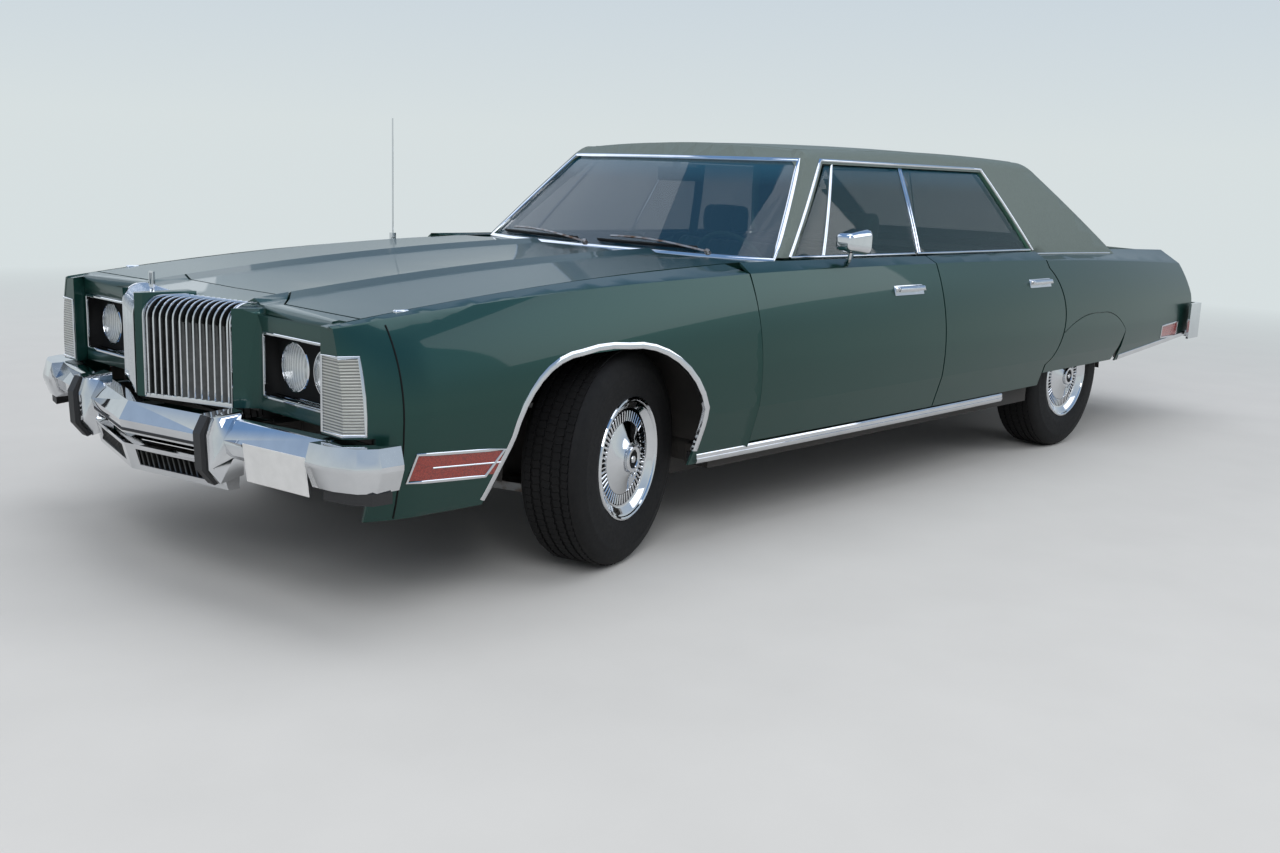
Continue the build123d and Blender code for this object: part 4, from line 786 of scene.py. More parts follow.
class CAR_OT_linings(PieceOperator, bpy.types.Operator):
    """Lines the wheel openings and the sides of the boot"""

    bl_idname = "car.linings"
    bl_label = "Wheel-house and boot linings"

    def build(self, sizes, colours):
        houses = bmesh.new()
        for x, inner, outer, radius in WHEEL_HOUSES:
            before = set(houses.verts)
            bmesh.ops.spin(houses, geom=[houses.verts.new(at(x + radius, outer, TYRE_R))],
                           cent=at(x, outer, TYRE_R), axis=(0, -1, 0), angle=math.pi, steps=20)
            arch = list({edge for corner in set(houses.verts) - before for edge in corner.link_edges})
            made = bmesh.ops.extrude_edge_only(houses, edges=arch)
            rim = only(made, bmesh.types.BMVert)
            bmesh.ops.translate(houses, vec=(0, inner - outer, 0), verts=rim)
            houses.faces.new(sorted((c for c in rim if c.co.z > 0.5), key=lambda corner: -corner.co.x))
        both_sides("wheelhouse_linings", houses, "chassis_black")
        boards = bmesh.new()
        for y, outline in BOOT_BOARDS:
            boards.faces.new([boards.verts.new(at(x, y, z)) for x, z in outline])
        both_sides("boot_side_boards", boards, "chassis_black")


class CAR_OT_glass(PieceOperator, bpy.types.Operator):
    """Clears the panes, with a shade band along the top of the windshield"""

    bl_idname = "car.glass"
    bl_label = "Glass"

    def build(self, sizes, colours):
        clean_copy("windshield", "windshield_pane", "shield_glass", 60)
        clean_copy("rear_window", "rear_window_pane", "side_glass", 60)
        for door in ("front_left", "front_right", "rear_left", "rear_right"):
            clean_copy(f"glass_{door}", f"pane_{door}", "side_glass", 60, body=f"{door}_door")


ORNAMENT = (1.04, -1, 0.8508), (1.09, 0.03, 0.93)
RECESS = (0.885, 0.4115, 0.5845), (0.9405, 0.7525, 0.7685)
RECESS_EDGE = ((0.4135, 0.590), (0.4135, 0.764), (0.418, 0.768), (0.746, 0.768),
               (0.751, 0.764), (0.751, 0.590), (0.746, 0.5855), (0.418, 0.5855))


class CAR_OT_nose(PieceOperator, bpy.types.Operator):
    """Blackens the lamp recesses, brightens the ornament and frames the recesses"""

    bl_idname = "car.nose"
    bl_label = "Nose"

    def build(self, sizes, colours):
        def pick(corners):
            return 2 if within(corners, *ORNAMENT) else 1 if within(corners, *RECESS) else 0

        finishes = ("green_enamel", "black_recess", "bright_chrome")
        clean_copy("nose_panel", "nose_panel_skin", finishes, 28, pick)
        frames = bmesh.new()
        spots = [(at(RECESS[1][0], y, z), AHEAD) for y, z in RECESS_EDGE]
        trim(frames, strip(0.008, 0.003), spots, closed=True)
        for x, z in ((0.931, 0.589), (0.918, 0.592), (0.905, 0.595)):
            block(frames, at(x - 0.004, 0.415, 0.585), at(x + 0.004, 0.749, z), 0.001, 1)
        both_sides("lamp_recess_frames", frames, "bright_chrome")
        pods = bmesh.new()
        block(pods, at(0.725, 0.794, 0.845), at(0.772, 0.812, 0.862), 0.005, 3)
        both_sides("fender_top_lamps", pods, "bright_chrome", 50)
        eyes = bmesh.new()
        block(eyes, at(0.7225, 0.797, 0.850), at(0.7258, 0.809, 0.859), 0.001, 1)
        both_sides("fender_top_lenses", eyes, "orange_lens")


GRILLE_IN, GRILLE_WIDTH = 0.032, 0.306


def grille_front(y):
    """Front of the grille's bars at a distance from the middle."""
    return 1.108 - 0.110 * (abs(y) - GRILLE_IN) / GRILLE_WIDTH


def grille_path(y):
    """Up a bar of the grille, over its bend and back: points and normals."""
    front, top, bend = grille_front(y), 0.843, 0.062
    rear = 0.974 - 0.056 * (abs(y) - GRILLE_IN) / GRILLE_WIDTH
    spots = [(at(front, y, z), AHEAD) for z in (0.5585, 0.70)]
    for turn in spread(0, math.pi / 2, 7):
        out = Vector((math.cos(turn), 0, math.sin(turn)))
        spots.append((at(front - bend, y, top - bend) + out * bend, out))
    return [*spots, (at(rear, y, top), Vector((0, 0, 1)))]


class CAR_OT_grille(PieceOperator, bpy.types.Operator):
    """Finishes the split grille, with painted shade on its dark bars and depths, and lays a bright rib along
    each bar
    """

    bl_idname = "car.grille"
    bl_label = "Grille"

    def build(self, sizes, colours):
        def pick(corners):
            """Bright rims, and dark bars and black depths that stand for painted shade between the bright
            ribs.
            """
            middle = middle_of(corners)
            if not 0.0362 <= abs(middle.y) <= 0.3345 or middle.z < 0.5575:
                return 1
            # Deep faces turn black and the bars dark metal: painted shade between the bright ribs.
            return 2 if middle.x < grille_front(middle.y) - 0.030 and middle.z < 0.775 else 0

        clean_copy("grille", "grille_bars", ("dark_metal_and_painted_shade", "bright_chrome", "black_recess"), 30, pick)
        ribs = bmesh.new()
        for i in range(sizes.grille_bars):
            y = GRILLE_IN + GRILLE_WIDTH * (i + 0.5) / sizes.grille_bars
            trim(ribs, half_round(0.0055, 0.003, 3), grille_path(y))
        both_sides("grille_ribs", ribs, "bright_chrome", 50)


HEADLAMP_FORMS = (
    # piece, finish, section of (along, radius)
    ("headlamp_rings", "bright_chrome",
     ((-0.012, 0.0732), (0.001, 0.0732), (0.004, 0.0705), (0.004, 0.0675), (0.001, 0.066), (-0.012, 0.066),
      (-0.012, 0.0732))),
    ("headlamp_glasses", "ribbed_lamp_glass",
     ((0.0, 0.0658), (0.004, 0.058), (0.008, 0.044), (0.0108, 0.026), (0.012, 0.0), (0.009, 0.0),
      (0.008, 0.026), (0.005, 0.044), (0.001, 0.058), (-0.002, 0.0655))),
    ("headlamp_bowls", "lamp_bowl",
     ((-0.003, 0.0655), (-0.020, 0.056), (-0.036, 0.036), (-0.042, 0.014), (-0.034, 0.012), (-0.030, 0.0))),
)


class CAR_OT_headlamps(PieceOperator, bpy.types.Operator):
    """Sets a ring, a ribbed glass and a bowl at each of the four headlamps"""

    bl_idname = "car.headlamps"
    bl_label = "Headlamps"

    def build(self, sizes, colours):
        for name, finish, section in HEADLAMP_FORMS:
            shape = bmesh.new()
            for y in LAMP_Y:
                lathe(shape, section, Matrix.Translation(at(LAMP_X, y, LAMP_Z)))
            piece = both_sides(name, shape, finish, 40)
            if name == "headlamp_glasses":
                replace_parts(piece, "headlamps")


SEAM = ((0.829, 0.305), (0.8365, 0.55), (0.831, 0.829))
MARKERS = (
    # outlines of the side lamps, front and rear
    ((0.497, 0.388), (0.497, 0.468), (0.794, 0.488), (0.811, 0.408)),
    ((-4.374, 0.479), (-4.366, 0.556), (-4.132, 0.544), (-4.142, 0.479)),
)
MARKER_BAR = ((0.502, 0.428), (0.798, 0.447))
TURN_LAMP_REAR = 0.83
TAIL_X, TAIL_BEND_Z = -4.570, 0.7
TAIL_EDGE = ((0.803, 0.558), (0.803, 0.700), (0.803, 0.858), (0.865, 0.858), (0.865, 0.700), (0.865, 0.558))


class CAR_OT_signals(PieceOperator, bpy.types.Operator):
    """Colours the turn, side and tail lamps and frames them"""

    bl_idname = "car.signals"
    bl_label = "Signal lamps"

    def build(self, sizes, colours):
        def pick(corners):
            """Clear turn lamps, orange and red lamps behind them, and black backs."""
            x = middle_of(corners).x
            if x > TURN_LAMP_REAR:
                return 0
            if facing(corners).y * math.copysign(1, corners[0].y) < -0.5:
                return 3
            return 2 if x > 0 else 1

        finishes = ("fluted_clear_lens", "red_lens", "orange_lens", "chassis_black")
        clean_copy("signal_lamps", "signal_lenses", finishes, 30, pick)
        skin = Skin("front_fenders", "signal_lamps", "quarter_panels")
        seam = bmesh.new()
        trim(seam, strip(0.004, 0.0022, 0.0006), side_spots(skin, SEAM, 0.02))
        both_sides("fender_extension_seams", seam, "black_recess")

        frames = bmesh.new()
        rise = spread(0.548, 0.752, 5)
        front = [(at(0.979, 0.772, z), AHEAD) for z in (rise[0], rise[-1])]
        slant = Vector((1, 1, 0)).normalized()
        corner = [(skin.beside(0.974, z)[0] + AHEAD * 0.004, slant) for z in (rise[0], rise[-1])]
        path = [front[0], corner[0], *[skin.beside(0.928, z) for z in rise], corner[1], front[1]]
        trim(frames, strip(0.009, 0.003), path, closed=True)
        for outline in MARKERS:
            trim(frames, strip(0.010, 0.0035), side_spots(skin, outline, closed=True), closed=True)
        trim(frames, strip(0.005, 0.003), side_spots(skin, MARKER_BAR))
        both_sides("lamp_frames", frames, "bright_chrome")

        tails = bmesh.new()
        spots = []
        for y, z in TAIL_EDGE:
            lean = max(0, z - TAIL_BEND_Z) / 0.3
            out = Vector((-1, 0, 0.42)) if z > TAIL_BEND_Z else -AHEAD
            spots.append((at(TAIL_X + lean * 0.125 - 0.001, y, z), out.normalized()))
        trim(tails, strip(0.008, 0.003), spots, closed=True)
        both_sides("tail_lamp_frames", tails, "bright_chrome")


AIR_INTAKE = (1.0, 0.0, 0.343), (1.2, 0.3685, 0.397)
PLATE_Y, PLATE_Z = 0.662, 0.432
PLATE_HALF = Vector((0.0015, 0.128, 0.055))


class CAR_OT_bumpers(PieceOperator, bpy.types.Operator):
    """Chromes the bumpers and adds their rub strip and the blank plate"""

    bl_idname = "car.bumpers"
    bl_label = "Bumpers"

    def build(self, sizes, colours):
        def pick(corners):
            """Black depths that stand for painted shade inside the air intake, and dark bars in it."""
            if not within(corners, *AIR_INTAKE):
                return 0
            middle = middle_of(corners)
            # Deep faces turn black as painted shade.
            if middle.x < bumper_face(middle.y) - 0.0405:
                return 1
            return 2 if 0.0455 < abs(middle.y) < 0.3675 else 0

        finishes = ("bright_chrome", "black_recess", "dark_metal_and_painted_shade")
        clean_copy("front_bumper", "front_bumper_chrome", finishes, 24, pick)
        clean_copy("rear_bumper", "rear_bumper_chrome", "bright_chrome", 24)
        clean_copy("front_bumper_pads", "front_bumper_rubber", "bumper_rubber", 30)
        rub = bmesh.new()
        out = Vector((1, 0, -0.25)).normalized()
        spots = [(at(bumper_face(y) - 0.0075, y, 0.451), out) for y in spread(0.36, -0.36, 7)]
        trim(rub, strip(0.009, 0.003), spots)
        from_bmesh("bumper_rub_strip", rub, "bumper_rubber")
        plate = bmesh.new()
        block(plate, -PLATE_HALF, PLATE_HALF, 0.001, 1)
        turn = Matrix.Rotation(math.atan2(0.1435, 0.9897), 4, "Z") @ Matrix.Rotation(math.radians(7), 4, "Y")
        place = Matrix.Translation(at(bumper_face(PLATE_Y) + 0.0005, PLATE_Y, PLATE_Z))
        bmesh.ops.transform(plate, matrix=place @ turn, verts=plate.verts)
        from_bmesh("blank_plate", plate, "blank_plate_white")


LIP_OUT = 0.008
PANE_INSET = 0.008
BELTS = (
    # doors, front and rear end of the moulding under their panes
    ("front", -0.965, -1.790),
    ("rear", -1.812, -2.800),
)


class CAR_OT_side_trim(PieceOperator, bpy.types.Operator):
    """Lays the bright mouldings along the sides"""

    bl_idname = "car.side_trim"
    bl_label = "Side mouldings"

    def build(self, sizes, colours):
        rocker = bmesh.new()
        h = sizes.moulding / 2
        section = [(-h, -0.045), (-h, -0.003), (-h * 0.6, 0.002), (-0.001, 0.003),
                   (0.0, 0.0005), (h * 0.7, 0.0005), (h, -0.003), (h, -0.045)]
        line = zip(spread(-0.350, -2.410, 22), spread(0.3205, 0.3245, 22))
        trim(rocker, section, [(at(x, plan_half(x) - 0.044, z), Vector((0, 1, 0))) for x, z in line])
        both_sides("rocker_mouldings", rocker, "bright_chrome")

        lips = bmesh.new()
        r = LIP_OUT
        line = [(0.5316 + r, 0.315),
                *arc3((0.462 + r, 0.5), (0.372 + r * 0.8, 0.65 + r * 0.5), (0.2, 0.716 + r)),
                *arc3((0.2, 0.716 + r), (0.105, 0.727 + r), (0.01, 0.722 + r), 3)[1:],
                *arc3((0.01, 0.722 + r), (-0.215 - r * 0.7, 0.655 + r * 0.7), (-0.338 - r, 0.5))[1:],
                (-0.338 - r, 0.43), (-0.329 - r, 0.35)]
        section = [(0.009, -0.004), (0.009, 0.0015), (0.004, 0.003),
                   (-0.006, 0.003), (-0.011, 0.0), (-0.011, -0.012)]
        trim(lips, section, side_spots(Skin("front_fenders"), line, 0.03))
        both_sides("wheel_arch_lips", lips, "bright_chrome", 40)

        sweeps = bmesh.new()
        line = ((-3.555, 0.411), (-4.545, 0.4835))
        trim(sweeps, strip(0.028, 0.004), side_spots(Skin("quarter_panels"), line))
        both_sides("rear_quarter_mouldings", sweeps, "bright_chrome")

        for doors, front, rear in BELTS:
            spots = [(cabin_place(x, 0.9665, PANE_INSET - 0.003)[0], Vector((0, 1, 0.15)))
                     for x in spread(front, rear, 9)]
            for side, hand in SIDES:
                belt = bmesh.new()
                trim(belt, half_round(0.013, 0.006), spots if hand > 0 else other_side(spots))
                from_bmesh(f"{doors}_{side}_belt_moulding", belt, "bright_chrome", 50, f"{doors}_{side}_door")


SHIELD_LOW_Z, SHIELD_TOP_Z = 0.957, 1.323
REAR_WINDOW = ((0.567, 1.004), (0.567, 1.316), (-0.567, 1.316), (-0.567, 1.004))
REAR_SLOPE = Vector((-0.435, 0, 0.69))
DRIP_RAIL = ((-0.960, 0.966), (-1.345, 1.325), (-2.577, 1.325), (-2.812, 0.966))
DECK_HALF = 0.7775
SEAM_Y, SEAM_FRONT, SEAM_REAR = 0.585, -1.33, -2.99


class CAR_OT_roof_trim(PieceOperator, bpy.types.Operator):
    """Frames the windshield, the rear window and the side openings"""

    bl_idname = "car.roof_trim"
    bl_label = "Roof mouldings"

    def build(self, sizes, colours):
        surround = bmesh.new()
        up = []
        for z in spread(SHIELD_LOW_Z, SHIELD_TOP_Z, 9):
            y = 0.7
            for _ in range(4):
                y = cabin_half(shield_place(y, z)[0].x - AXLE_X, z, 0.027)
            up.append(shield_place(y, z, -0.001))
        foot_y, top_y = up[0][0].y, up[-1][0].y
        across = [shield_place(y, SHIELD_TOP_Z, -0.001) for y in spread(top_y, -top_y, 11)[1:-1]]
        foot = [shield_place(y, SHIELD_LOW_Z, -0.001) for y in spread(-foot_y, foot_y, 11)[1:-1]]
        trim(surround, [*window_edge(-0.012), (-0.010, -0.004)], up + across + other_side(up)[::-1] + foot,
             closed=True)
        from_bmesh("windshield_surround", surround, "bright_chrome", 40)

        rear = bmesh.new()
        slant = REAR_SLOPE.z / REAR_SLOPE.x
        corners = [at(-3.010 + (1.385 - z) * slant, y, z) for y, z in REAR_WINDOW]
        path = [(a.lerp(b, i / 5), REAR_SLOPE.normalized())
                for a, b in zip(corners, corners[1:] + corners[:1]) for i in range(5)]
        trim(rear, [*window_edge(-0.006), (-0.010, -0.006)], path, closed=True)
        from_bmesh("rear_window_surround", rear, "bright_chrome", 40)

        rails = bmesh.new()
        path = bent([Vector((x, 0, z)) for x, z in DRIP_RAIL], 0.08)
        trim(rails, half_round(0.015, 0.007), [cabin_place(p.x, p.z) for p in path])
        both_sides("drip_rails", rails, "bright_chrome", 50)

        feet = bmesh.new()
        spots = []
        for x in spread(-2.815, -3.675, 14):
            # The bead follows the line where the roof's foot meets the deck.
            deck = 0.962 - (x + 2.7) ** 2 * 0.008
            edge_y, edge_z = crease(x)
            z = 0.955
            for _ in range(6):
                y = cabin_half(x, z)
                share = min(1, max(0, (y - DECK_HALF) / (edge_y - DECK_HALF)))
                z = deck + (edge_z - deck) * share + 0.003
            spots.append((at(x, y, z), Vector((0, 0.8, 0.6))))
        trim(feet, half_round(0.010, 0.005), spots)
        both_sides("roof_foot_beads", feet, "bright_chrome", 50)

        seams = bmesh.new()
        skin = Skin("roof")
        lines = [[(x, y) for x in spread(SEAM_FRONT, SEAM_REAR, 25)] for y in (SEAM_Y, -SEAM_Y)]
        lines.append([(-1.345, y) for y in spread(SEAM_Y, -SEAM_Y, 17)])
        for line in lines:
            found = [skin.above(x, y) for x, y in line]
            trim(seams, half_round(0.006, 0.002, 3), [spot for spot in found if spot])
        from_bmesh("roof_seams", seams, "grained_vinyl", 50)


def wheel_place(axle, side):
    """Matrix of a wheel whose X axis points out of the car."""
    facing_out = Matrix.Rotation(side * math.pi / 2, 4, "Z")
    if axle == "rear":
        return Matrix.Translation(at(REAR_X, side * WHEEL_Y, TYRE_R)) @ facing_out
    kingpin = Matrix.Translation(at(0, side * KINGPIN_Y, 0))
    steered = kingpin @ Matrix.Rotation(STEER_REST, 4, "Z") @ kingpin.inverted()
    return steered @ Matrix.Translation(at(0, side * WHEEL_Y, TYRE_R)) @ facing_out


def on_each_wheel(shape, name, finishes, node=None, angle=32.0, pick=None):
    """Puts a copy of a shape, made about the X axis, on each of the four wheels."""
    mesh = mesh_of(shape, name)
    if pick:
        for face in mesh.polygons:
            face.material_index = pick(face.center.x, math.hypot(face.center.y, face.center.z))
    for axle in ("front", "rear"):
        for side, hand in SIDES:
            copy = mesh.copy()
            copy.transform(wheel_place(axle, hand))
            piece = put(f"{name}_{axle}_{side}", copy, finishes, angle, f"{axle}_{side}_wheel")
            if node:
                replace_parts(piece, f"{node}_{axle}_{side}")


# Half-section of a tyre as (along, radius), from its bead to the middle of the tread
TYRE_HALF = ((0.092, 0.197), (0.101, 0.203), (0.1065, 0.222), (0.1095, 0.232), (0.1095, 0.236),
             (0.1105, 0.250), (0.1105, 0.272), (0.109, 0.290), (0.1095, 0.294), (0.107, 0.300),
             (0.103, 0.318), (0.097, 0.333), (0.088, 0.343), (0.076, 0.3475), (0.075, 0.3445), (0.0, 0.3455))
TREAD_R, TREAD_HEIGHT = 0.3468, 0.008
TREAD_RIBS = (
    # middle of the rib, its width
    (-0.064, 0.020),
    (-0.034, 0.024),
    (0.0, 0.028),
    (0.034, 0.024),
    (0.064, 0.020),
)


class CAR_OT_tyres(PieceOperator, bpy.types.Operator):
    """Makes the tyres with their ribs, blocks and side rings"""

    bl_idname = "car.tyres"
    bl_label = "Tyres"

    def build(self, sizes, colours):
        carcass = bmesh.new()
        section = [*TYRE_HALF, *[(-a, r) for a, r in reversed(TYRE_HALF[:-1])], TYRE_HALF[0]]
        lathe(carcass, section, steps=80)
        on_each_wheel(carcass, "tyre", "tyre_rubber", "tyre", 35)

        tread = bmesh.new()
        step = 2 * math.pi / sizes.tread_blocks
        for rib, (middle, width) in enumerate(TREAD_RIBS):
            corners = bmesh.ops.create_cube(tread, size=1.0)["verts"]
            shrink = Matrix.Diagonal((width, 0.351 * step * 0.93, TREAD_HEIGHT, 1))
            lean = Matrix.Rotation(0.18 if rib % 2 else -0.18, 4, "Z")
            place = Matrix.Rotation(step * 0.35 * rib, 4, "X") @ Matrix.Translation((middle, 0, TREAD_R))
            bmesh.ops.transform(tread, matrix=place @ lean @ shrink, verts=corners)
        repeat_round(tread, sizes.tread_blocks)
        on_each_wheel(tread, "tread", "tyre_rubber", None, 20)


# Sections as (along, radius)
COVER = ((0.096, 0.200), (0.1, 0.2025), (0.1045, 0.200), (0.1065, 0.195), (0.104, 0.190), (0.100, 0.1875),
         (0.0985, 0.184), (0.0965, 0.180), (0.0855, 0.164), (0.083, 0.158), (0.083, 0.154), (0.0765, 0.1525),
         (0.0765, 0.120), (0.083, 0.1185), (0.0845, 0.112), (0.0880, 0.098), (0.0960, 0.074), (0.1060, 0.056),
         (0.1085, 0.0525), (0.1085, 0.050), (0.1060, 0.0485), (0.1060, 0.0455), (0.1170, 0.0435),
         (0.1195, 0.041),
         (0.1195, 0.031), (0.1165, 0.029), (0.1165, 0.012), (0.1195, 0.0105), (0.1195, 0.0))
COVER_DARK = (
    # inner and outer radius, least and most along: the floor of the slots and the ring of the hub
    (0.121, 0.1518, 0.07, 0.079),
    (0.013, 0.0285, 0.11, 0.118),
)
RIM = ((0.094, 0.1955), (0.094, 0.188), (0.030, 0.176), (-0.020, 0.170), (-0.070, 0.180), (-0.091, 0.188),
       (-0.0915, 0.1955), (0.094, 0.1955))
RIM_DISC = ((0.062, 0.178), (0.060, 0.120), (0.040, 0.085), (0.022, 0.075), (0.022, 0.030), (0.030, 0.0))


class CAR_OT_covers(PieceOperator, bpy.types.Operator):
    """Makes the bright wheel covers with their ring of slots, over worn steel rims"""

    bl_idname = "car.covers"
    bl_label = "Wheel covers"

    def build(self, sizes, colours):
        def pick(along, radius):
            return int(any(inner <= radius <= outer and least <= along <= most
                           for inner, outer, least, most in COVER_DARK))

        cover = bmesh.new()
        lathe(cover, COVER, steps=96)
        on_each_wheel(cover, "wheel_cover", ("bright_chrome", "black_recess"), "wheel", 26, pick)

        fins = bmesh.new()
        corners = bmesh.ops.create_cube(fins, size=1.0)["verts"]
        place = Matrix.Translation((0.0795, 0, 0.1362)) @ Matrix.Diagonal((0.0085, 0.0085, 0.0345, 1))
        bmesh.ops.transform(fins, matrix=place, verts=corners)
        outer = [edge for edge in fins.edges if all(corner.co.x > 0.08 for corner in edge.verts)]
        bmesh.ops.bevel(fins, geom=outer, offset=0.002, affect="EDGES", segments=1, profile=0.5, material=-1)
        repeat_round(fins, sizes.cover_slots)
        on_each_wheel(fins, "cover_fins", "bright_chrome", None, 40)

        rim = bmesh.new()
        lathe(rim, RIM, steps=64)
        lathe(rim, RIM_DISC, steps=64)
        on_each_wheel(rim, "wheel_rim", "worn_steel", None, 35)


HANDLES = (
    # doors, distance of the handle's rear end, height
    ("front", -1.650, 0.840),
    ("rear", -2.760, 0.828),
)
DOOR_FINISHES = ("green_enamel", "bright_chrome", "padded_vinyl_trim")
DOOR_INSIDE = (-3.0, 0.0, 0.30), (-0.6, 0.935, 0.955)
PANE_BARS = (
    # piece, doors, bars as (foot, head, width, height)
    ("vent_bars", "front", (((-1.172, 0.966), (-1.418, 1.309), 0.016, 0.007),
                            ((-1.822, 0.966), (-1.889, 1.309), 0.010, 0.007))),
    ("rear_pane_edge", "rear", (((-1.838, 0.966), (-1.905, 1.309), 0.008, 0.006),)),
)
MIRROR_STEM = ((-1.245, 0.862, 0.930), (-1.215, 0.895, 0.945), (-1.190, 0.925, 0.965), (-1.180, 0.940, 0.995))


class CAR_OT_doors(PieceOperator, bpy.types.Operator):
    """Lays the enamel on the doors, brightens their handles and sets the vent bars and the mirror"""

    bl_idname = "car.doors"
    bl_label = "Doors"

    def build(self, sizes, colours):
        for doors, rear, z in HANDLES:
            handle = (rear - 0.001, 0.93, z - 0.0195), (rear + 0.201, 1.02, z + 0.0205)

            def pick(corners):
                """A bright handle, and padding inside."""
                if within(corners, *handle):
                    return 1
                middle = middle_of(corners)
                deep = abs(middle.y) < plan_half(middle.x) - 0.035 - 0.30 * max(0, middle.z - 0.72)
                return 2 if deep and within(corners, *DOOR_INSIDE) else 0

            for side, hand in SIDES:
                node, body = f"door_{doors}_{side}", f"{doors}_{side}_door"
                clean_copy(node, f"{body}_skin", DOOR_FINISHES, 28, pick, body)
                grip = bmesh.new()
                skin = Skin(node)
                spots = [skin.beside(x, z + 0.007, hand) for x in spread(rear + 0.014, rear + 0.186, 7)]
                trim(grip, half_round(0.013, 0.003), spots)
                from_bmesh(f"{doors}_{side}_handle_grip", grip, "bright_chrome", 50, body)
        for side, hand in SIDES:
            for name, doors, rows in PANE_BARS:
                bars = bmesh.new()
                for foot, head, width, height in rows:
                    line = zip(spread(foot[0], head[0], 6), spread(foot[1], head[1], 6))
                    spots = [cabin_place(x, z, PANE_INSET) for x, z in line]
                    trim(bars, half_round(width, height), spots if hand > 0 else other_side(spots))
                from_bmesh(f"{name}_{side}", bars, "bright_chrome", 50, f"{doors}_{side}_door")
        self.mirror()

    def mirror(self):
        """The mirror on the left door, with its shell drawn in towards the front."""
        shell = bmesh.new()
        block(shell, at(-1.234, 0.893, 0.984), at(-1.100, 1.001, 1.078), 0.026, 5)
        front = [corner for corner in shell.verts if corner.co.x > AXLE_X - 1.16]
        pivot = Matrix.Translation(-at(-1.13, 0.955, 1.030))
        bmesh.ops.scale(shell, vec=(1, 0.72, 0.70), verts=front, space=pivot)
        section = [(0.012, -0.007), (0.016, 0.0), (0.012, 0.007),
                   (-0.012, 0.007), (-0.016, 0.0), (-0.012, -0.007)]
        trim(shell, section, [(at(*place), Vector((0, 1, 0.2))) for place in MIRROR_STEM])
        piece = from_bmesh("mirror_shell", shell, "bright_chrome", 50, "front_left_door")
        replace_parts(piece, "door_mirror")
        glass = bmesh.new()
        block(glass, at(-1.2385, 0.909, 0.990), at(-1.2355, 0.978, 1.072), 0.001, 1)
        from_bmesh("mirror_glass", glass, "mirror_silver", body="front_left_door")


class CAR_OT_wipers(PieceOperator, bpy.types.Operator):
    """Parks the wipers at the foot of the windshield"""

    bl_idname = "car.wipers"
    bl_label = "Wipers"

    def build(self, sizes, colours):
        for name, foot, tip in (("left_wiper", 0.52, 0.02), ("right_wiper", -0.10, -0.64)):
            arm = bmesh.new()
            spots = []
            for share in spread(0, 1, 8):
                z = 0.966 + 0.030 * math.sin(math.pi * share * 0.55)
                point, normal = shield_place(foot + (tip - foot) * share, z)
                spots.append((point + normal * (0.008 + 0.006 * math.sin(math.pi * share)), normal))
            trim(arm, [(0.004, -0.002), (0.004, 0.002), (-0.004, 0.002), (-0.004, -0.002)], spots)
            point, normal = shield_place(foot, 0.966)
            lathe(arm, [(-0.016, 0.011), (0.012, 0.011), (0.018, 0.006), (0.018, 0.0)],
                  Matrix.Translation(point) @ normal.to_track_quat("X", "Z").to_matrix().to_4x4(), 20)
            from_bmesh(name + "_arm", arm, "worn_steel")
            blade = bmesh.new()
            spots = []
            for share in spread(0.12, 1.12, 9):
                point, normal = shield_place(foot + (tip - foot) * share, 0.982)
                spots.append((point + normal * 0.001, normal))
            section = [(0.003, -0.006), (0.003, 0.006), (0.0, 0.009), (-0.003, 0.006), (-0.003, -0.006)]
            trim(blade, section, spots)
            from_bmesh(name + "_blade", blade, "bumper_rubber")


def stuffed(name, outlines, bevel=0.03, cap=0.024, voxel=0.014):
    """A padded piece from side-view outlines, each (outline, middle, half-width), swollen as cloth."""
    shape = bmesh.new()
    for outline, middle, half in outlines:
        drawn_out(shape, [at(x, middle - half, z) for x, z in outline], (0, 2 * half, 0))
    bmesh.ops.recalc_face_normals(shape, faces=shape.faces)
    bmesh.ops.bevel(shape, geom=list(shape.edges), offset=bevel, affect="EDGES", segments=3, profile=0.5,
                    material=-1)
    piece = from_bmesh(name, shape, "seat_cloth", 180)
    remesh = piece.modifiers.new("remesh", "REMESH")
    remesh.mode = "VOXEL"
    remesh.voxel_size = voxel
    settle(piece)
    swell(piece, cap)
    rounder = piece.modifiers.new("rounder", "SUBSURF")
    rounder.levels = rounder.render_levels = 1
    settle(piece)
    piece.data.shade_smooth()
    return piece


def swell(piece, cap, frames=20):
    """Blows a closed cloth up and caps how far each point may move."""
    scene = bpy.context.scene
    cloth = piece.modifiers.new("cloth", "CLOTH")
    cloth.settings.use_pressure = True
    cloth.settings.uniform_pressure_force = 4.0
    cloth.settings.effector_weights.gravity = 0.0
    cloth.point_cache.frame_start = 1
    cloth.point_cache.frame_end = frames
    for number in range(1, frames + 1):
        scene.frame_set(number)
    swollen = piece.evaluated_get(bpy.context.evaluated_depsgraph_get()).data
    moves = [b.co - a.co for a, b in zip(piece.data.vertices, swollen.vertices)]
    piece.modifiers.clear()
    for corner, move in zip(piece.data.vertices, moves):
        if move.length > cap:
            move = move * (cap / move.length)
        corner.co += move
    scene.frame_set(1)


def sewn(piece, channels, width=0.008):
    """Presses sewn channels, each (distance from the middle, depth), into a padded piece."""
    mesh = piece.data
    normals = [n.vector.copy() for n in mesh.vertex_normals]
    for corner, normal in zip(mesh.vertices, normals):
        corner.co -= normal * max(deep * math.exp(-((corner.co.y - y) / width) ** 2) for y, deep in channels)
    mesh.update()


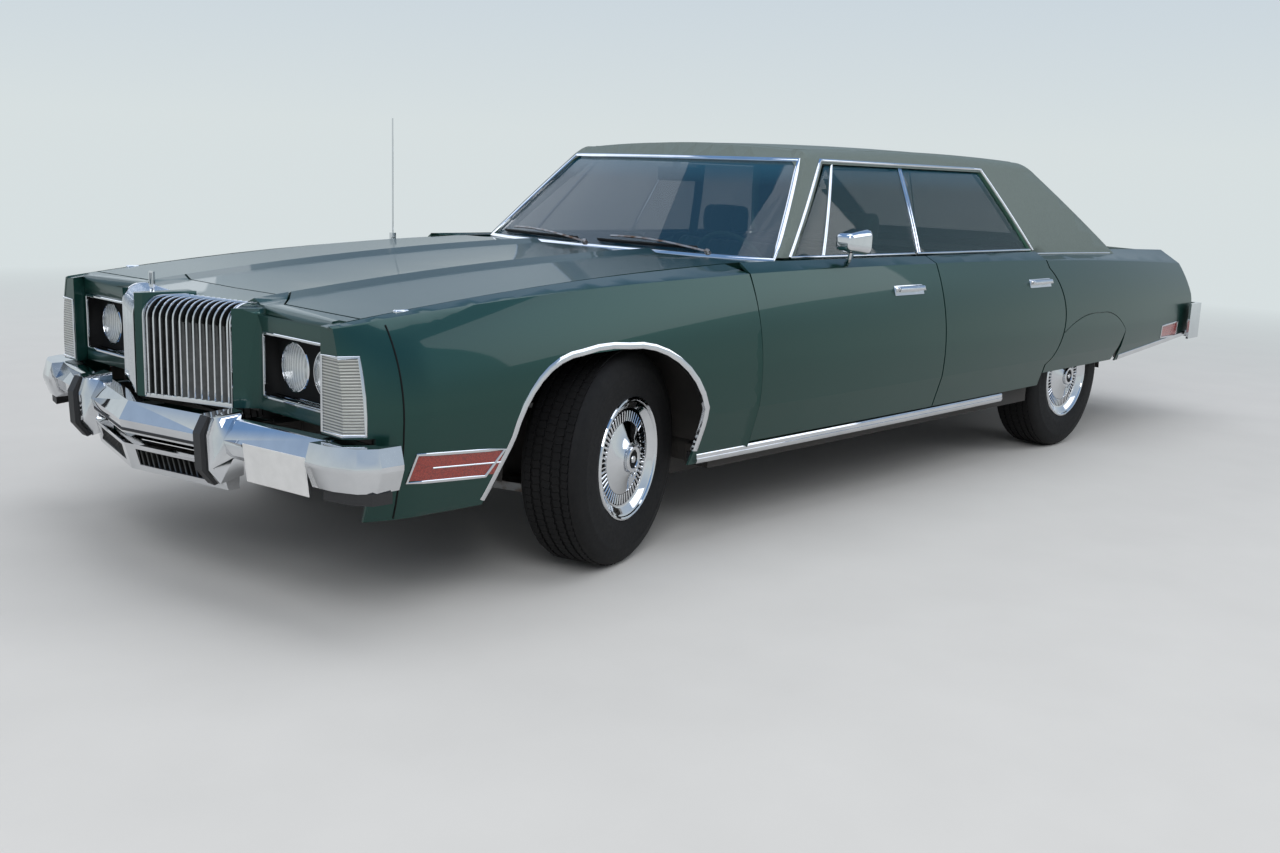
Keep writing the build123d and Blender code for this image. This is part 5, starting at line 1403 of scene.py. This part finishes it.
SEAT_CHANNELS = [(side * (0.14 + 0.075 * i), 0.006) for side in (1, -1) for i in range(7)]
SEAT_CHANNELS += [(0.0, 0.016), (0.105, 0.010), (-0.105, 0.010)]
SEAT_FORMS = (
    # piece, half-width, node it stands for, outline
    ("front_seat_cushion", 0.665, "front_seat",
     ((-1.405, 0.345), (-1.395, 0.475), (-1.440, 0.515), (-1.850, 0.475), (-1.890, 0.350))),
    ("front_seat_back", 0.665, None,
     ((-1.865, 0.495), (-1.968, 0.975), (-2.045, 0.975), (-2.000, 0.350), (-1.905, 0.350))),
    ("rear_seat_cushion", 0.605, "rear_seat",
     ((-2.465, 0.365), (-2.425, 0.470), (-2.460, 0.495), (-2.800, 0.455), (-2.850, 0.365))),
    ("rear_seat_back", 0.605, None,
     ((-2.815, 0.480), (-2.960, 0.870), (-3.035, 0.870), (-2.930, 0.430))),
)
HEAD_OUTLINE = ((-1.972, 0.985), (-1.966, 1.060), (-1.982, 1.115),
                (-2.045, 1.115), (-2.056, 1.060), (-2.048, 0.985))
HEAD_Y, HEAD_HALF = (0.37, -0.37), 0.120


class CAR_OT_seats(PieceOperator, bpy.types.Operator):
    """Upholsters the two bench seats, with their head restraints"""

    bl_idname = "car.seats"
    bl_label = "Seats"

    def build(self, sizes, colours):
        for name, half, node, outline in SEAT_FORMS:
            piece = stuffed(name, [(outline, 0.0, half)])
            sewn(piece, SEAT_CHANNELS)
            if node:
                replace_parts(piece, node)
        heads = [(HEAD_OUTLINE, y, HEAD_HALF) for y in HEAD_Y]
        piece = stuffed("head_restraints", heads, 0.022, 0.012, 0.009)
        sewn(piece, [(y + d, 0.004) for y in HEAD_Y for d in (-0.07, 0.07)])
        bases = bmesh.new()
        block(bases, at(-1.955, -0.64, 0.2275), at(-1.425, 0.64, 0.360), 0.012)
        block(bases, at(-2.900, -0.60, 0.3475), at(-2.475, 0.60, 0.372), 0.006)
        from_bmesh("seat_bases", bases, "cut_pile_carpet")


DASH_X = -1.0835
BELT_PATH = ((-2.075, 0.600, 1.302), (-2.090, 0.625, 1.15), (-2.095, 0.655, 0.95), (-2.085, 0.685, 0.60),
             (-2.060, 0.705, 0.34))
CARPET = ((-0.695, 0.2265), (-0.157, 0.2265), (-0.157, 0.4215), (0.157, 0.4215),
          (0.157, 0.2265), (0.695, 0.2265), (0.695, 0.2325), (0.163, 0.2325),
          (0.163, 0.4275), (-0.163, 0.4275), (-0.163, 0.2325), (-0.695, 0.2325))
CARPET_FRONT, CARPET_LENGTH = -0.98, 1.39


class CAR_OT_cabin(PieceOperator, bpy.types.Operator):
    """Fits the steering wheel, the dash, the inside mirror, the belts and the carpet"""

    bl_idname = "car.cabin"
    bl_label = "Cabin"

    def build(self, sizes, colours):
        wheel = bmesh.new()
        rim = [(0.0105 * math.sin(turn), 0.192 + 0.0115 * math.cos(turn))
               for turn in spread(0, 2 * math.pi, 13)]
        lathe(wheel, rim, steps=72)
        hub = [(-0.020, 0.0), (-0.020, 0.040), (0.0, 0.044), (0.010, 0.043), (0.014, 0.036), (0.015, 0.0)]
        lathe(wheel, hub, steps=40)
        block(wheel, Vector((-0.005, -0.184, -0.017)), Vector((0.007, 0.184, 0.013)), 0.004)
        column = Matrix.Translation(at(-1.180, 0.375, 0.850)) @ Matrix.Rotation(math.radians(202), 4, "Y")
        bmesh.ops.transform(wheel, matrix=column, verts=wheel.verts)
        piece = from_bmesh("steering_wheel_rim", wheel, "padded_vinyl_trim", 40, "steering_wheel_body")
        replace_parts(piece, "steering_wheel")
        self.dash()
        self.mirror()

        belts = bmesh.new()
        for hand in (1, -1):
            path = bent([at(x, y * hand, z) for x, y, z in BELT_PATH], 0.05)
            trim(belts, [(0.023, 0.0), (0.023, 0.0012), (-0.023, 0.0012), (-0.023, 0.0)],
                 [(point, Vector((0.5, -hand, 0)).normalized()) for point in path])
        from_bmesh("belt_straps", belts, "seat_cloth")

        carpet = bmesh.new()
        drawn_out(carpet, [at(CARPET_FRONT, y, z) for y, z in CARPET], (-CARPET_LENGTH, 0, 0))
        from_bmesh("cabin_carpet", carpet, "cut_pile_carpet")

    def dash(self):
        """The dash face with its dials and knobs, its pad and the gear lever."""
        panel = bmesh.new()
        block(panel, at(DASH_X, -0.62, 0.735), at(DASH_X + 0.004, 0.72, 0.865), 0.0015, 1)
        from_bmesh("dash_panel", panel, "dash_wood")
        dials = bmesh.new()
        rows = [(y, 0.80, [(0.0, r), (0.008, r), (0.008, r - 0.006), (0.002, r - 0.008), (0.002, 0.0)], 36)
                for y, r in ((0.50, 0.048), (0.375, 0.052), (0.25, 0.048))]
        knob = [(0.0, 0.012), (0.018, 0.011), (0.020, 0.009), (0.020, 0.0)]
        rows += [(y, 0.775, knob, 20) for y in (0.08, 0.0, -0.08, 0.62)]
        for y, z, section, steps in rows:
            place = Matrix.Translation(at(DASH_X, y, z)) @ Matrix.Rotation(math.pi, 4, "Z")
            lathe(dials, section, place, steps)
        from_bmesh("dash_dials", dials, "worn_steel", 40)
        pad = bmesh.new()
        block(pad, at(-1.105, -0.755, 0.875), at(-0.860, 0.755, 0.945), 0.018, 4)
        from_bmesh("dash_top_pad", pad, "padded_vinyl_trim", 50)
        lever = bmesh.new()
        bmesh.ops.create_cone(lever, cap_ends=True, segments=12, radius1=0.005, radius2=0.004, depth=0.17)
        turn = Vector((-0.30, -0.85, 0.30)).normalized().to_track_quat("Z", "Y").to_matrix().to_4x4()
        place = Matrix.Translation(at(-1.105, 0.285, 0.86)) @ turn
        bmesh.ops.transform(lever, matrix=place, verts=lever.verts)
        from_bmesh("gear_lever", lever, "bright_chrome", 40)

    def mirror(self):
        mirror = bmesh.new()
        block(mirror, at(-1.262, -0.120, 1.225), at(-1.240, 0.120, 1.283), 0.008, 3)
        block(mirror, at(-1.243, -0.012, 1.270), at(-1.215, 0.012, 1.318), 0.004, 2)
        from_bmesh("inside_mirror", mirror, "padded_vinyl_trim", 50)
        glass = bmesh.new()
        block(glass, at(-1.2635, -0.113, 1.231), at(-1.2615, 0.113, 1.277), 0.0006, 1)
        from_bmesh("inside_mirror_glass", glass, "mirror_silver")


LAMPS = (
    # place, width of the box, power, what it points at
    ((7.0, 6.0, 6.5), 5.0, 330.0, (0.6, 0.0, 0.6)),
    ((-5.5, 6.5, 6.0), 6.0, 190.0, (-0.6, 0.0, 0.6)),
    ((1.0, -7.0, 5.5), 6.0, 120.0, (0.0, 0.0, 0.6)),
    ((0.0, 0.5, 8.0), 7.0, 230.0, (0.0, 0.0, 0.6)),
)
CAMERA_PLACE = Vector((4.5592, 3.65, 1.2472))
CAMERA_TURN, CAMERA_RISE, CAMERA_ROLL = math.radians(-136.697), math.radians(-11.215), math.radians(2.159)


class CAR_OT_stage(PieceOperator, bpy.types.Operator):
    """Sets the floor, the lights and the camera"""

    bl_idname = "car.stage"
    bl_label = "Stage"

    def build(self, sizes, colours):
        scene = bpy.context.scene
        scene.view_settings.view_transform = "Standard"
        self.floor(scene)
        self.world(scene)
        for place, size, power, aim in LAMPS:
            light = bpy.data.lights.new("soft_box", "AREA")
            light.size = size
            light.energy = power
            box = bpy.data.objects.new("soft_box", light)
            scene.collection.objects.link(box)
            box.location = place
            box.rotation_euler = (Vector(aim) - Vector(place)).to_track_quat("-Z", "Y").to_euler()
        self.camera(scene)

    def floor(self, scene):
        """A pale floor, which runs into the backdrop far off, for the camera alone."""
        shape = bmesh.new()
        bmesh.ops.create_grid(shape, x_segments=1, y_segments=1, size=60)
        mesh = bpy.data.meshes.new("floor")
        shape.to_mesh(mesh)
        shape.free()
        floor = bpy.data.objects.new("floor", mesh)
        scene.collection.objects.link(floor)
        pale = Finish("pale_floor", roughness=0.85)
        pale.grade(pale.noise(3, 4), (0.60, 0.60, 0.59), (0.66, 0.66, 0.65))
        away = pale.node("ShaderNodeVectorMath", {"operation": "LENGTH"}, {0: pale.place}, 1)
        fade = pale.ramp(away * 0.05, (0.20, 0.0), (0.55, 1.0)) * pale.seen()
        glow = pale.node("ShaderNodeEmission", None, {0: HORIZON})
        shown = pale.node("ShaderNodeMixShader", None, {0: fade, 1: pale.face, 2: glow})
        pale.join(shown, pale.out.inputs[0])
        mesh.materials.append(pale.material)

    def world(self, scene):
        """Even light, with a backdrop that the camera, reflections and panes show."""
        scene.world = bpy.data.worlds.new("soft_studio")
        graph = Graph(scene.world)
        place = graph.node("ShaderNodeTexCoord", out="Generated")
        rise = graph.node("ShaderNodeSeparateXYZ", None, {0: place}, "Z")
        light = graph.node("ShaderNodeBackground", None, {0: SOFT_LIGHT, 1: 0.48})
        sky = graph.ramp(rise, (0.03, HORIZON), (0.65, ZENITH))
        backdrop = graph.node("ShaderNodeBackground", None, {0: sky})
        shown = graph.node("ShaderNodeMixShader", None, {0: graph.seen(), 1: light, 2: backdrop})
        graph.node("ShaderNodeOutputWorld", None, {0: shown})

    def camera(self, scene):
        """Stands where the photograph was taken from."""
        view = bpy.data.cameras.new("camera")
        view.sensor_width = 36.0
        view.lens = 35.80
        view.clip_end = 200.0
        camera = bpy.data.objects.new("camera", view)
        scene.collection.objects.link(camera)
        level = math.cos(CAMERA_RISE)
        ahead = Vector((level * math.cos(CAMERA_TURN), level * math.sin(CAMERA_TURN), math.sin(CAMERA_RISE)))
        right = ahead.cross(Vector((0, 0, 1))).normalized()
        level_view = Matrix((right, right.cross(ahead), -ahead)).transposed()
        turned = level_view @ Matrix.Rotation(CAMERA_ROLL, 3, "Z")
        camera.matrix_world = Matrix.Translation(CAMERA_PLACE) @ turned.to_4x4()
        scene.camera = camera


OPERATORS = (
    CAR_OT_finishes,
    CAR_OT_panels,
    CAR_OT_linings,
    CAR_OT_glass,
    CAR_OT_nose,
    CAR_OT_grille,
    CAR_OT_headlamps,
    CAR_OT_signals,
    CAR_OT_bumpers,
    CAR_OT_side_trim,
    CAR_OT_roof_trim,
    CAR_OT_tyres,
    CAR_OT_covers,
    CAR_OT_doors,
    CAR_OT_wipers,
    CAR_OT_seats,
    CAR_OT_cabin,
    CAR_OT_stage,
)


class CAR_PT_panel(bpy.types.Panel):
    """Lists the car's pieces"""

    bl_label = "Full-size hardtop"
    bl_idname = "CAR_PT_panel"
    bl_space_type = "VIEW_3D"
    bl_region_type = "UI"
    bl_category = "Car"

    def draw(self, context):
        for operator in OPERATORS:
            self.layout.operator(operator.bl_idname)
        for group in (context.scene.car_sizes, context.scene.car_colours):
            for name in group.bl_rna.properties.keys():
                if name not in ("rna_type", "name"):
                    self.layout.prop(group, name)


CLASSES = (CarSizes, CarColours, *OPERATORS, CAR_PT_panel)


def register():
    for item in CLASSES:
        bpy.utils.register_class(item)
    bpy.types.Scene.car_sizes = bpy.props.PointerProperty(type=CarSizes)
    bpy.types.Scene.car_colours = bpy.props.PointerProperty(type=CarColours)


def unregister():
    del bpy.types.Scene.car_colours
    del bpy.types.Scene.car_sizes
    for item in reversed(CLASSES):
        bpy.utils.unregister_class(item)


def main():
    register()
    for operator in OPERATORS:
        group, name = operator.bl_idname.split(".")
        getattr(getattr(bpy.ops, group), name)()


if __name__ == "__main__":
    main()
